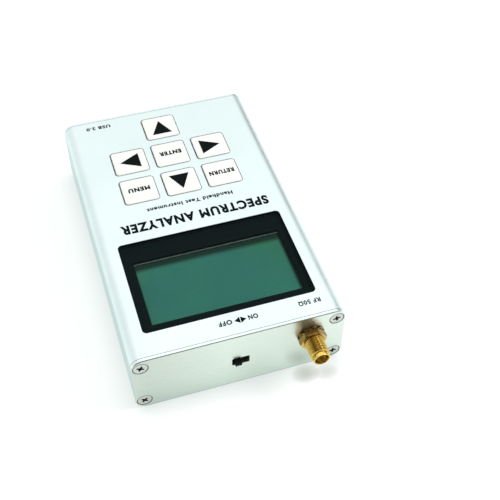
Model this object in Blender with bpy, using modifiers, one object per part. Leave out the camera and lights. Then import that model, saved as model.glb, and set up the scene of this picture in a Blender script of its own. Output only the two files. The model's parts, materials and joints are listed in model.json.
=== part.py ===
"""A handheld spectrum analyzer: a case with a display, seven keys, a slide switch and a coaxial input.

Frame: the case lies on its back. +Z points out of the display, the end with the coaxial input faces -Y, and
the origin is the centre of the underside. Everything is in metres, and MM turns millimetres into metres.
"""

import math

import bmesh
import bpy
from mathutils import Matrix, Vector

MM = 0.001
WELD_DISTANCE = 0.0001 * MM
AXIS_MERGE = 0.001 * MM
OVERLAP = 0.3 * MM  # how far two shapes run into each other where they are joined

# The case: two extruded shells closed by an end plate at each end.
CASE_WIDTH = 70 * MM
CASE_LENGTH = 113 * MM
CASE_HEIGHT = 25 * MM
CORNER_RADIUS = 4 * MM
WALL = 1.5 * MM
PLATE_THICKNESS = 1.2 * MM
SEAM = 0.1 * MM
SPLIT_HEIGHT = CASE_HEIGHT / 2
TONGUE_HEIGHT = 0.9 * MM
SHELL_LENGTH = CASE_LENGTH - 2 * (PLATE_THICKNESS + SEAM)

# The end plate screws, which run into round bosses in the corners of the extrusions.
SCREW_X = 32 * MM
SCREW_INSET_Z = 3.7 * MM
BOSS_RADIUS = 2.6 * MM
PILOT_RADIUS = 1.4 * MM
SCREW_HEAD_RADIUS = 2.3 * MM
SCREW_HEAD_SINK = 0.05 * MM
SCREW_SHANK_RADIUS = 1.25 * MM
SCREW_LENGTH = 8 * MM
RECESS_REACH = 1.3 * MM
RECESS_ROOT = 0.42 * MM
RECESS_TIP = 0.26 * MM
RECESS_DEPTH = 0.8 * MM
COUNTERSINK_DEPTH = 1.05 * MM
COUNTERSINK_CLEARANCE = 0.15 * MM

# The main board, held by its long edges between two rails in each side wall of the top shell.
BOARD_THICKNESS = 1.6 * MM
BOARD_MIDDLE_Z = 14.9 * MM
BOARD_TOP_Z = BOARD_MIDDLE_Z + BOARD_THICKNESS / 2
BOARD_BOTTOM_Z = BOARD_MIDDLE_Z - BOARD_THICKNESS / 2
BOARD_WIDTH = 66.4 * MM
BOARD_FRONT_Y = -54.6 * MM
BOARD_BACK_Y = 54.6 * MM
RAIL_DEPTH = 1.9 * MM
RAIL_THICKNESS = 1.2 * MM
RAIL_CLEARANCE = 0.15 * MM

# The keys stand on a square grid, in a cross with two more keys beside its foot. The shell sits a little to
# one side of the board that carries them, so the gap round each cap is wider on its left and far sides.
KEY_PITCH = 15.24 * MM
KEY_WIDTH = 12.2 * MM
KEY_DEPTH = 11.9 * MM
KEY_CORNER = 1.1 * MM
KEY_EDGE = 0.25 * MM
KEY_GAP = 0.3 * MM
KEY_OPENING_SHIFT = (-0.12 * MM, 0.08 * MM)
KEY_PROUD = 0.2 * MM
KEY_CENTRE_Y = 29.8 * MM
KEY_TRAVEL = 0.3 * MM
KEY_FLANGE = 0.6 * MM
KEY_FLANGE_THICKNESS = 1 * MM
KEY_PLACES = {
    "menu": (-1, -1),
    "up": (0, -1),
    "return": (1, -1),
    "right": (-1, 0),
    "enter": (0, 0),
    "left": (1, 0),
    "down": (0, 1),
}
TACT_SIDE = 6 * MM
TACT_HEIGHT = 3.5 * MM
TACT_CORNER = 0.4 * MM
TACT_WELL_DEPTH = 1.5 * MM
PLUNGER_RADIUS = 1.7 * MM
PLUNGER_TOP_Z = BOARD_TOP_Z + 5 * MM

# The display, from its window down to its board.
WINDOW_WIDTH = 57.1 * MM
WINDOW_DEPTH = 37.7 * MM
WINDOW_CORNER = 1.5 * MM
WINDOW_CENTRE_Y = -27.9 * MM
WINDOW_CLEARANCE = 0.1 * MM
WINDOW_THICKNESS = 1.0 * MM
WINDOW_TOP_Z = CASE_HEIGHT - 0.15 * MM
BEZEL_WIDTH = 58 * MM
BEZEL_DEPTH = 40 * MM
MASK_TOP_Z = WINDOW_TOP_Z - WINDOW_THICKNESS - 0.05 * MM
MASK_THICKNESS = 0.15 * MM
MASK_BORDER = 0.5 * MM
BEZEL_TOP_Z = 23.35 * MM
BEZEL_SHEET = 0.5 * MM
BEZEL_CORNER = 0.8 * MM
BEZEL_BOTTOM_Z = 19.3 * MM
VIEW_WIDTH = 50.3 * MM
VIEW_DEPTH = 25.7 * MM
VIEW_CENTRE_X = 0.3 * MM
VIEW_CENTRE_Y = -30.2 * MM
VIEW_CORNER = 0.3 * MM
GLASS_THICKNESS = 1.4 * MM
DISPLAY_BOARD_THICKNESS = 1.2 * MM
DISPLAY_BOARD_MARGIN = 1 * MM
DISPLAY_GAP = 0.1 * MM
HEADER_PINS = 20
HEADER_PITCH = 2.54 * MM
HEADER_INSET = 0.6 * MM

# What hangs under the main board: sizes along X, Y and Z, and centres along X and Y.
PROCESSOR_SIZE = (12 * MM, 12 * MM, 1.2 * MM)
PROCESSOR_PLACE = (8 * MM, -14 * MM)
CRYSTAL_SIZE = (11 * MM, 4.6 * MM, 3.5 * MM)
CRYSTAL_CORNER = 2.2 * MM
CRYSTAL_PLACE = (8 * MM, -4 * MM)
RECEIVER_SIZE = (5 * MM, 5 * MM, 0.9 * MM)
RECEIVER_PLACE = (23.5 * MM, -36 * MM)
SHIELD_SIZE = (18 * MM, 26 * MM, 3.2 * MM)
SHIELD_PLACE = (21.5 * MM, -34 * MM)
SHIELD_SHEET = 0.3 * MM

# The coaxial jack: it straddles the main board's edge, with the pin of its contact lying on the board.
JACK_X = 23.5 * MM
JACK_PIN_RADIUS = 0.35 * MM
JACK_Z = BOARD_TOP_Z + JACK_PIN_RADIUS + 0.05 * MM
JACK_TIP_Y = -66.6 * MM
JACK_THREAD_RADIUS = 3.15 * MM
JACK_TIP_RADIUS = 2.75 * MM
JACK_TIP_LENGTH = 1.1 * MM
JACK_NECK_RADIUS = 2.6 * MM
JACK_NECK_LENGTH = 0.5 * MM
JACK_BORE_RADIUS = 2.3 * MM
JACK_BORE_DEPTH = 3 * MM
JACK_SHOULDER = 8 * MM
JACK_SHOULDER_LENGTH = 2 * MM
JACK_LEG = 1.2 * MM
JACK_LEG_LENGTH = 3.8 * MM
JACK_CLEARANCE = 0.15 * MM
JACK_NOTCH_MARGIN = 0.3 * MM
JACK_NOTCH_DEPTH = 1.8 * MM
NUT_ACROSS_FLATS = 8 * MM
NUT_THICKNESS = 2.2 * MM
NUT_TURN = 10  # degrees
WASHER_RADIUS = 4.5 * MM
WASHER_THICKNESS = 0.5 * MM
WASHER_TEETH = 10
WASHER_TOOTH_DEPTH = 0.5 * MM
CONTACT_RADIUS = 0.65 * MM
CONTACT_BORE_RADIUS = 0.42 * MM
CONTACT_BORE_DEPTH = 2 * MM
CONTACT_PROUD = 0.9 * MM
CONTACT_PIN_LENGTH = 2.5 * MM
INSULATOR_RADIUS = 2.15 * MM

# The power switch, under the main board at the middle of the connector end.
SWITCH_Z = 11.85 * MM
SWITCH_SLOT = (5.8 * MM, 3.4 * MM)
SWITCH_SLOT_CORNER = 0.4 * MM
SWITCH_TRAVEL = 2 * MM
SWITCH_BODY = (8.8 * MM, 4 * MM)
SWITCH_WALL = 0.5 * MM
SWITCH_BOTTOM_Z = 9.6 * MM
KNOB_SIZE = (2.3 * MM, 1.8 * MM)
KNOB_PROUD = 1.3 * MM
KNOB_EDGE = 0.15 * MM
KNOB_GROOVE = (0.66 * MM, 0.5 * MM)
SLIDER_SIZE = (4.4 * MM, 2.6 * MM, 1.0 * MM)

# The data and charging port and the charge lamp, at the far end.
PORT_X = -22.5 * MM
PORT_SIZE = (7.7 * MM, 3.9 * MM)
PORT_DEPTH = 9 * MM
PORT_SHEET = 0.4 * MM
PORT_SKIRT = 1.1 * MM
PORT_MOUTH_SINK = 0.2 * MM
PORT_OPENING = (8.5 * MM, 4.7 * MM)
PORT_OPENING_CORNER = 0.8 * MM
PORT_Z = BOARD_BOTTOM_Z - SEAM - PORT_SIZE[1] / 2
TONGUE_SIZE = (5.4 * MM, 1.2 * MM)
TONGUE_LIFT = 0.4 * MM
TONGUE_SINK = 1 * MM
LAMP_X = -14 * MM
LAMP_RADIUS = 1 * MM
LAMP_SINK = 0.4 * MM
LAMP_LENGTH = 4 * MM
LAMP_BODY = (2.4 * MM, 2.7 * MM)

# The battery, under the main board.
BATTERY = (34 * MM, 50 * MM, 8 * MM)
BATTERY_CENTRE_Y = 24 * MM
BATTERY_BOTTOM_Z = WALL + 0.3 * MM
BATTERY_CORNER = 3 * MM
LEAD_RADIUS = 0.6 * MM
LEAD_GAP = 0.3 * MM
LEAD_SPREAD_AT_CELL = 3 * MM
LEAD_SPREAD_AT_PLUG = 2 * MM
LEAD_START_X = -4 * MM
PLUG_SIZE = (8 * MM, 6 * MM, 4.5 * MM)
PLUG_PLACE = (-10 * MM, -14 * MM)

FACING_FRONT = Matrix.Rotation(math.radians(90), 4, "X")  # local +Z becomes -Y, and local +Y becomes +Z
FACING_BACK = Matrix.Rotation(math.pi, 4, "Z") @ FACING_FRONT


def clear_scene():
    for obj in list(bpy.data.objects):
        bpy.data.objects.remove(obj)


def make_collection(name):
    collection = bpy.data.collections.new(name)
    bpy.context.scene.collection.children.link(collection)
    return collection


def make_material(name, colour, roughness, metallic=0.0):
    material = bpy.data.materials.new(name)
    material.use_nodes = True
    shader = material.node_tree.nodes["Principled BSDF"]
    shader.inputs["Base Color"].default_value = (*colour, 1)
    shader.inputs["Roughness"].default_value = roughness
    shader.inputs["Metallic"].default_value = metallic
    return material


# Outlines: lists of (x, y) points that run anticlockwise.


def arc(centre, radius, start, end, steps):
    """Points on an arc from start to end, in degrees."""
    points = []
    for step in range(steps + 1):
        angle = math.radians(start + (end - start) * step / steps)
        points.append((centre[0] + radius * math.cos(angle), centre[1] + radius * math.sin(angle)))
    return points


def circle(radius, centre=(0, 0), points=24):
    return arc(centre, radius, 0, 360, points)[:-1]


def rounded_rectangle(width, height, radius, centre=(0, 0), steps=4):
    outline = []
    for quadrant, (side_x, side_y) in enumerate(((1, 1), (-1, 1), (-1, -1), (1, -1))):
        corner = (
            centre[0] + side_x * (width / 2 - radius),
            centre[1] + side_y * (height / 2 - radius),
        )
        outline += arc(corner, radius, 90 * quadrant, 90 * quadrant + 90, steps)
    return outline


# Meshes.


def as_mesh(obj):
    """The evaluated shape of an object as a welded mesh. The object is removed."""
    bpy.context.view_layer.update()
    graph = bpy.context.evaluated_depsgraph_get()
    mesh = bpy.data.meshes.new_from_object(obj.evaluated_get(graph))
    bpy.data.objects.remove(obj)
    shape = bmesh.new()
    shape.from_mesh(mesh)
    bmesh.ops.remove_doubles(shape, verts=shape.verts, dist=WELD_DISTANCE)
    shape.to_mesh(mesh)
    shape.free()
    return mesh


def prism(loops, low, high):
    """A mesh of flat outlines, with the inner ones as holes, from low to high along Z."""
    curve = bpy.data.curves.new("outline", "CURVE")
    curve.dimensions = "2D"
    curve.fill_mode = "BOTH"
    curve.extrude = (high - low) / 2
    for loop in loops:
        spline = curve.splines.new("POLY")
        spline.points.add(len(loop) - 1)
        for point, (x, y) in zip(spline.points, loop):
            point.co = (x, y, 0, 1)
        spline.use_cyclic_u = True
    obj = bpy.data.objects.new("outline", curve)
    bpy.context.scene.collection.objects.link(obj)
    mesh = as_mesh(obj)
    mesh.transform(Matrix.Translation((0, 0, (high + low) / 2)))
    return mesh


def turned(profile, steps=32, ring=False):
    """A mesh turned about Z from (radius, z) points that run down its outer side.

    A ring's profile is closed, and any other one starts and ends on the axis.
    """
    mesh = bpy.data.meshes.new("profile")
    edges = [(i, i + 1) for i in range(len(profile) - 1)]
    if ring:
        edges.append((len(profile) - 1, 0))
    mesh.from_pydata([(radius, 0, z) for radius, z in profile], edges, [])
    obj = bpy.data.objects.new("profile", mesh)
    bpy.context.scene.collection.objects.link(obj)
    screw = obj.modifiers.new("Screw", "SCREW")
    screw.steps = screw.render_steps = steps
    screw.use_merge_vertices = True
    screw.merge_threshold = AXIS_MERGE
    return as_mesh(obj)


def box(low, high):
    mesh = bpy.data.meshes.new("box")
    shape = bmesh.new()
    size = [b - a for a, b in zip(low, high)]
    centre = [(a + b) / 2 for a, b in zip(low, high)]
    bmesh.ops.create_cube(shape, size=1, matrix=Matrix.Translation(centre) @ Matrix.Diagonal((*size, 1)))
    shape.to_mesh(mesh)
    shape.free()
    return mesh


def bevelled(mesh, width, segments=2):
    """The mesh with its sharp edges rounded."""
    obj = bpy.data.objects.new("bevelled", mesh)
    bpy.context.scene.collection.objects.link(obj)
    bevel = obj.modifiers.new("Bevel", "BEVEL")
    bevel.width = width
    bevel.segments = segments
    bevel.limit_method = "ANGLE"
    bevel.angle_limit = math.radians(50)
    return as_mesh(obj)


def merged(*meshes):
    """Several separate meshes as one, for a cutter."""
    result = bpy.data.meshes.new("merged")
    shape = bmesh.new()
    for mesh in meshes:
        shape.from_mesh(mesh)
    shape.to_mesh(result)
    shape.free()
    return result


def moved(mesh, matrix):
    copy = mesh.copy()
    copy.transform(matrix)
    return copy


def shade(mesh, angle=40):
    mesh.shade_smooth()
    mesh.set_sharp_from_angle(angle=math.radians(angle))


class Assembly:
    """The collections, the parent empty and the materials, and the calls that add a piece to them."""

    def __init__(self):
        self.parts = make_collection("spectrum_analyzer")
        self.cutters = make_collection("cutters")
        self.origin = bpy.data.objects.new("spectrum_analyzer_origin", None)
        self.parts.objects.link(self.origin)
        self.materials = {
            "case": make_material("case", (0.80, 0.83, 0.83), 0.35, 1.0),
            "end_plate": make_material("end_plate", (0.72, 0.75, 0.72), 0.3, 1.0),
            "steel": make_material("steel", (0.60, 0.60, 0.58), 0.25, 1.0),
            "gold": make_material("gold", (0.83, 0.58, 0.20), 0.2, 1.0),
            "key": make_material("key", (0.90, 0.89, 0.86), 0.45),
            "black_plastic": make_material("black_plastic", (0.02, 0.02, 0.02), 0.5),
            "black_metal": make_material("black_metal", (0.02, 0.03, 0.03), 0.4, 0.5),
            "clear": make_material("clear", (0.9, 0.95, 0.95), 0.05),
            "display": make_material("display", (0.08, 0.25, 0.20), 0.1),
            "light_guide": make_material("light_guide", (0.85, 0.88, 0.80), 0.4),
            "board": make_material("board", (0.03, 0.20, 0.08), 0.4),
            "insulator": make_material("insulator", (0.88, 0.87, 0.83), 0.5),
            "battery": make_material("battery", (0.62, 0.66, 0.68), 0.35, 0.3),
            "red_lead": make_material("red_lead", (0.6, 0.03, 0.02), 0.4),
            "black_lead": make_material("black_lead", (0.02, 0.02, 0.02), 0.4),
            "lamp": make_material("lamp", (0.8, 0.35, 0.05), 0.3),
        }

    def add(self, name, mesh, material, matrix=None):
        """A named piece, parented to the origin."""
        obj = bpy.data.objects.new(name, mesh)
        self.parts.objects.link(obj)
        obj.parent = self.origin
        obj.matrix_local = matrix or Matrix.Identity(4)
        if mesh.name not in self.parts:
            mesh.materials.clear()
            mesh.materials.append(self.materials[material])
        shade(mesh)
        return obj

    def boolean(self, obj, mesh, operation="DIFFERENCE"):
        """Cuts a mesh from a piece, or joins it on. The mesh is in the piece's own coordinates."""
        cutter = bpy.data.objects.new(f"{obj.name}_{operation.lower()}", mesh)
        self.cutters.objects.link(cutter)
        cutter.parent = obj
        cutter.hide_render = True
        cutter.display_type = "WIRE"
        modifier = obj.modifiers.new(operation.title(), "BOOLEAN")
        modifier.operation = operation
        modifier.solver = "EXACT"
        modifier.object = cutter


def joined(assembly, first, *others):
    """The union of overlapping meshes."""
    obj = bpy.data.objects.new("joined", first)
    bpy.context.scene.collection.objects.link(obj)
    for mesh in others:
        assembly.boolean(obj, mesh, "UNION")
    return as_mesh(obj)


# The case.


def boss_arc(centre_z, top):
    """The boss's outline on the right, from the side wall to the top or the bottom wall."""
    inner_x = CASE_WIDTH / 2 - WALL
    side_angle = math.degrees(math.acos((inner_x - SCREW_X) / BOSS_RADIUS))
    wall_angle = math.degrees(math.asin((SCREW_INSET_Z - WALL) / BOSS_RADIUS))
    if top:
        return arc((SCREW_X, centre_z), BOSS_RADIUS, -side_angle, -180 - wall_angle, 10)
    return arc((SCREW_X, centre_z), BOSS_RADIUS, 180 + wall_angle, side_angle, 10)


def top_shell_outline():
    half = CASE_WIDTH / 2
    inner = half - WALL
    tongue = half - WALL / 2 - SEAM / 2
    rail = inner - RAIL_DEPTH
    low_rail_top = BOARD_BOTTOM_Z - RAIL_CLEARANCE
    high_rail_bottom = BOARD_TOP_Z + RAIL_CLEARANCE
    seam = SPLIT_HEIGHT + SEAM / 2
    outer = [(half, seam)]
    outer += arc((half - CORNER_RADIUS, CASE_HEIGHT - CORNER_RADIUS), CORNER_RADIUS, 0, 90, 8)
    cavity = [
        (tongue, seam),
        (tongue, seam - TONGUE_HEIGHT),
        (inner, seam - TONGUE_HEIGHT),
        (inner, low_rail_top - RAIL_THICKNESS),
        (rail, low_rail_top - RAIL_THICKNESS),
        (rail, low_rail_top),
        (inner, low_rail_top),
        (inner, high_rail_bottom),
        (rail, high_rail_bottom),
        (rail, high_rail_bottom + RAIL_THICKNESS),
        (inner, high_rail_bottom + RAIL_THICKNESS),
    ]
    cavity += boss_arc(CASE_HEIGHT - SCREW_INSET_Z, top=True)
    return outer + [(-x, z) for x, z in reversed(outer)] + [(-x, z) for x, z in cavity] + cavity[::-1]


def bottom_shell_outline():
    half = CASE_WIDTH / 2
    inner = half - WALL
    groove = half - WALL / 2 + SEAM / 2
    seam = SPLIT_HEIGHT - SEAM / 2
    outer = arc((half - CORNER_RADIUS, CORNER_RADIUS), CORNER_RADIUS, -90, 0, 8) + [(half, seam)]
    cavity = boss_arc(SCREW_INSET_Z, top=False) + [
        (inner, seam - TONGUE_HEIGHT - SEAM),
        (groove, seam - TONGUE_HEIGHT - SEAM),
        (groove, seam),
    ]
    return outer + cavity[::-1] + [(-x, z) for x, z in cavity] + [(-x, z) for x, z in reversed(outer)]


def key_centre(name):
    column, row = KEY_PLACES[name]
    return (column * KEY_PITCH, KEY_CENTRE_Y + row * KEY_PITCH)


def key_opening(name):
    x, y = key_centre(name)
    centre = (x + KEY_OPENING_SHIFT[0], y + KEY_OPENING_SHIFT[1])
    return rounded_rectangle(KEY_WIDTH + 2 * KEY_GAP, KEY_DEPTH + 2 * KEY_GAP, KEY_CORNER + KEY_GAP, centre)


def make_shells(assembly):
    half_length = SHELL_LENGTH / 2
    top_hole_z = CASE_HEIGHT - SCREW_INSET_Z
    top_holes = [circle(PILOT_RADIUS, (side * SCREW_X, top_hole_z), 16) for side in (1, -1)]
    bottom_holes = [circle(PILOT_RADIUS, (side * SCREW_X, SCREW_INSET_Z), 16) for side in (1, -1)]
    top_mesh = prism([top_shell_outline(), *top_holes], -half_length, half_length)
    bottom_mesh = prism([bottom_shell_outline(), *bottom_holes], -half_length, half_length)
    top = assembly.add("top_shell", moved(top_mesh, FACING_FRONT), "case")
    assembly.add("bottom_shell", moved(bottom_mesh, FACING_FRONT), "case")
    openings = [key_opening(name) for name in KEY_PLACES]
    openings.append(rounded_rectangle(WINDOW_WIDTH, WINDOW_DEPTH, WINDOW_CORNER, (0, WINDOW_CENTRE_Y)))
    assembly.boolean(top, prism(openings, CASE_HEIGHT - 2 * WALL, CASE_HEIGHT + WALL))


def screw_places():
    return [
        (side * SCREW_X, z)
        for z in (CASE_HEIGHT - SCREW_INSET_Z, SCREW_INSET_Z)
        for side in (-1, 1)
    ]


def countersink():
    """A cutter for one screw hole, whose mouth is at z = 0."""
    clearance = COUNTERSINK_CLEARANCE
    profile = [
        (0, PLATE_THICKNESS),
        (SCREW_HEAD_RADIUS + clearance, PLATE_THICKNESS),
        (SCREW_HEAD_RADIUS + clearance, 0),
        (SCREW_SHANK_RADIUS + clearance, -COUNTERSINK_DEPTH),
        (SCREW_SHANK_RADIUS + clearance, -2 * PLATE_THICKNESS),
        (0, -2 * PLATE_THICKNESS),
    ]
    return turned(profile, 24)


def make_end_plate(assembly, name, facing, openings):
    """An end plate in its own frame: its outer face is at z = 0, with x and y along the face."""
    outline = rounded_rectangle(CASE_WIDTH, CASE_HEIGHT, CORNER_RADIUS, (0, CASE_HEIGHT / 2), 8)
    mesh = prism([outline, *openings], -PLATE_THICKNESS, 0)
    place = facing @ Matrix.Translation((0, 0, CASE_LENGTH / 2))
    plate = assembly.add(name, mesh, "end_plate", place)
    holes = [moved(countersink(), Matrix.Translation((x, z, 0))) for x, z in screw_places()]
    assembly.boolean(plate, merged(*holes))
    return place


def make_screw_mesh(assembly):
    """A countersunk self-tapping screw with a cross recess, whose head's face is at z = 0."""
    profile = [
        (0, -SCREW_HEAD_SINK),
        (SCREW_HEAD_RADIUS, -SCREW_HEAD_SINK),
        (SCREW_SHANK_RADIUS, -COUNTERSINK_DEPTH),
        (SCREW_SHANK_RADIUS, -SCREW_LENGTH + SCREW_SHANK_RADIUS),
        (0, -SCREW_LENGTH),
    ]
    screw = bpy.data.objects.new("screw", turned(profile, 20))
    bpy.context.scene.collection.objects.link(screw)
    cross = []
    for quarter in range(4):
        turn = Matrix.Rotation(quarter * math.pi / 2, 2)
        for point in (
            (RECESS_ROOT, -RECESS_ROOT),
            (RECESS_REACH, -RECESS_TIP),
            (RECESS_REACH, RECESS_TIP),
        ):
            cross.append(tuple(turn @ Vector(point)))
    assembly.boolean(screw, prism([cross], -RECESS_DEPTH, RECESS_DEPTH))
    return as_mesh(screw)


def make_ends(assembly):
    switch_slot = rounded_rectangle(*SWITCH_SLOT, SWITCH_SLOT_CORNER, (0, SWITCH_Z), 2)
    jack_hole = circle(JACK_THREAD_RADIUS + JACK_CLEARANCE, (JACK_X, JACK_Z), 32)
    port_opening = rounded_rectangle(*PORT_OPENING, PORT_OPENING_CORNER, (-PORT_X, PORT_Z), 3)
    lamp_hole = circle(LAMP_RADIUS, (-LAMP_X, PORT_Z), 16)
    front = make_end_plate(assembly, "connector_plate", FACING_FRONT, [switch_slot, jack_hole])
    back = make_end_plate(assembly, "port_plate", FACING_BACK, [port_opening, lamp_hole])
    screw = make_screw_mesh(assembly)
    for label, place in (("connector", front), ("port", back)):
        for number, (x, z) in enumerate(screw_places(), 1):
            screw_place = place @ Matrix.Translation((x, z, 0))
            assembly.add(f"{label}_plate_screw_{number}", screw, "steel", screw_place)


# The display.


def make_display(assembly):
    centre = (0, WINDOW_CENTRE_Y)
    pane = rounded_rectangle(
        WINDOW_WIDTH - 2 * WINDOW_CLEARANCE,
        WINDOW_DEPTH - 2 * WINDOW_CLEARANCE,
        WINDOW_CORNER - WINDOW_CLEARANCE,
        centre,
    )
    assembly.add("display_window", prism([pane], WINDOW_TOP_Z - WINDOW_THICKNESS, WINDOW_TOP_Z), "clear")

    view_centre = (VIEW_CENTRE_X, VIEW_CENTRE_Y)
    opening_size = (VIEW_WIDTH + 2 * MASK_BORDER, VIEW_DEPTH + 2 * MASK_BORDER)
    opening = rounded_rectangle(*opening_size, MASK_BORDER, view_centre, 2)
    mask = prism([pane, opening], MASK_TOP_Z - MASK_THICKNESS, MASK_TOP_Z)
    assembly.add("display_mask", mask, "black_plastic")

    frame = rounded_rectangle(BEZEL_WIDTH, BEZEL_DEPTH, BEZEL_CORNER, centre, 2)
    view = rounded_rectangle(VIEW_WIDTH, VIEW_DEPTH, VIEW_CORNER, view_centre, 2)
    bezel = assembly.add("display_bezel", prism([frame, view], BEZEL_BOTTOM_Z, BEZEL_TOP_Z), "black_metal")
    room_size = (BEZEL_WIDTH - 2 * BEZEL_SHEET, BEZEL_DEPTH - 2 * BEZEL_SHEET)
    room = rounded_rectangle(*room_size, BEZEL_CORNER - BEZEL_SHEET, centre, 2)
    assembly.boolean(bezel, prism([room], BEZEL_BOTTOM_Z - WALL, BEZEL_TOP_Z - BEZEL_SHEET))

    half_width = BEZEL_WIDTH / 2 - BEZEL_SHEET - 2 * DISPLAY_GAP
    half_depth = BEZEL_DEPTH / 2 - BEZEL_SHEET - 2 * DISPLAY_GAP
    glass_top = BEZEL_TOP_Z - BEZEL_SHEET - DISPLAY_GAP
    backlight_top = glass_top - GLASS_THICKNESS - DISPLAY_GAP
    board_top = BEZEL_BOTTOM_Z - DISPLAY_GAP
    low_y, high_y = WINDOW_CENTRE_Y - half_depth, WINDOW_CENTRE_Y + half_depth
    glass = box((-half_width, low_y, glass_top - GLASS_THICKNESS), (half_width, high_y, glass_top))
    backlight = box((-half_width, low_y, board_top + DISPLAY_GAP), (half_width, high_y, backlight_top))
    assembly.add("display_glass", glass, "display")
    assembly.add("display_backlight", backlight, "light_guide")

    board_bottom = board_top - DISPLAY_BOARD_THICKNESS
    board = rounded_rectangle(BEZEL_WIDTH, BEZEL_DEPTH + 2 * DISPLAY_BOARD_MARGIN, BEZEL_CORNER, centre, 2)
    header_y = WINDOW_CENTRE_Y + BEZEL_DEPTH / 2 - HEADER_INSET
    assembly.add("display_board", prism([board], board_bottom, board_top), "board")

    header_length = HEADER_PINS * HEADER_PITCH
    low = (-header_length / 2, header_y - HEADER_PITCH / 2, BOARD_TOP_Z + SEAM)
    high = (header_length / 2, header_y + HEADER_PITCH / 2, board_bottom - SEAM)
    assembly.add("display_header", box(low, high), "black_plastic")


# The keys, each over a tact switch.


def key_cap(assembly):
    """A key cap about its own centre: a flange under the shell's top wall and a stem over the plunger."""
    flange_top = CASE_HEIGHT - WALL - SEAM
    flange_bottom = flange_top - KEY_FLANGE_THICKNESS
    cap = rounded_rectangle(KEY_WIDTH, KEY_DEPTH, KEY_CORNER)
    flange = rounded_rectangle(KEY_WIDTH + 2 * KEY_FLANGE, KEY_DEPTH + 2 * KEY_FLANGE, KEY_CORNER)
    stem = circle(1.5 * PLUNGER_RADIUS, points=16)
    return joined(
        assembly,
        bevelled(prism([cap], flange_bottom + OVERLAP, CASE_HEIGHT + KEY_PROUD), KEY_EDGE),
        prism([flange], flange_bottom, flange_top),
        prism([stem], PLUNGER_TOP_Z + SEAM, flange_top - OVERLAP),
    )


def tact_switch(assembly):
    body_top = BOARD_TOP_Z + TACT_HEIGHT
    outline = rounded_rectangle(TACT_SIDE, TACT_SIDE, TACT_CORNER, steps=2)
    body = prism([outline], BOARD_TOP_Z + SEAM, body_top)
    well = prism([circle(PLUNGER_RADIUS + SEAM, points=16)], body_top - TACT_WELL_DEPTH, body_top + MM)
    obj = bpy.data.objects.new("tact", body)
    bpy.context.scene.collection.objects.link(obj)
    assembly.boolean(obj, well)
    return as_mesh(obj)


def make_keys(assembly):
    cap = key_cap(assembly)
    tact = tact_switch(assembly)
    plunger_bottom = BOARD_TOP_Z + TACT_HEIGHT - TACT_WELL_DEPTH + 2 * KEY_TRAVEL
    plunger = prism([circle(PLUNGER_RADIUS, points=16)], plunger_bottom, PLUNGER_TOP_Z)
    for name in KEY_PLACES:
        place = Matrix.Translation((*key_centre(name), 0))
        assembly.add(f"key_{name}", cap, "key", place)
        assembly.add(f"plunger_{name}", plunger, "black_plastic", place)
        assembly.add(f"tact_switch_{name}", tact, "steel", place)


# The boards and what stands on them.


def make_main_board(assembly):
    half = BOARD_WIDTH / 2
    notch = JACK_SHOULDER / 2 + JACK_NOTCH_MARGIN
    notch_y = BOARD_FRONT_Y + JACK_NOTCH_DEPTH
    outline = [
        (-half, BOARD_FRONT_Y),
        (JACK_X - notch, BOARD_FRONT_Y),
        (JACK_X - notch, notch_y),
        (JACK_X + notch, notch_y),
        (JACK_X + notch, BOARD_FRONT_Y),
        (half, BOARD_FRONT_Y),
        (half, BOARD_BACK_Y),
        (-half, BOARD_BACK_Y),
    ]
    assembly.add("main_board", prism([outline], BOARD_BOTTOM_Z, BOARD_TOP_Z), "board")


def under_board(width, depth, height, x, y):
    """A box hanging under the main board, centred on x and y."""
    top = BOARD_BOTTOM_Z - SEAM
    return box((x - width / 2, y - depth / 2, top - height), (x + width / 2, y + depth / 2, top))


def make_components(assembly):
    assembly.add("processor", under_board(*PROCESSOR_SIZE, *PROCESSOR_PLACE), "black_plastic")
    assembly.add("receiver_chip", under_board(*RECEIVER_SIZE, *RECEIVER_PLACE), "black_plastic")
    top = BOARD_BOTTOM_Z - SEAM
    crystal = rounded_rectangle(*CRYSTAL_SIZE[:2], CRYSTAL_CORNER, CRYSTAL_PLACE, 6)
    assembly.add("crystal", prism([crystal], top - CRYSTAL_SIZE[2], top), "steel")

    shield = assembly.add("receiver_shield", under_board(*SHIELD_SIZE, *SHIELD_PLACE), "steel")
    half_width, half_depth = (size / 2 - SHIELD_SHEET for size in SHIELD_SIZE[:2])
    x, y = SHIELD_PLACE
    room_bottom = top - SHIELD_SIZE[2] + SHIELD_SHEET
    room = box((x - half_width, y - half_depth, room_bottom), (x + half_width, y + half_depth, top + MM))
    assembly.boolean(shield, room)


# The coaxial jack, turned about an axis that faces the front.


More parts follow.
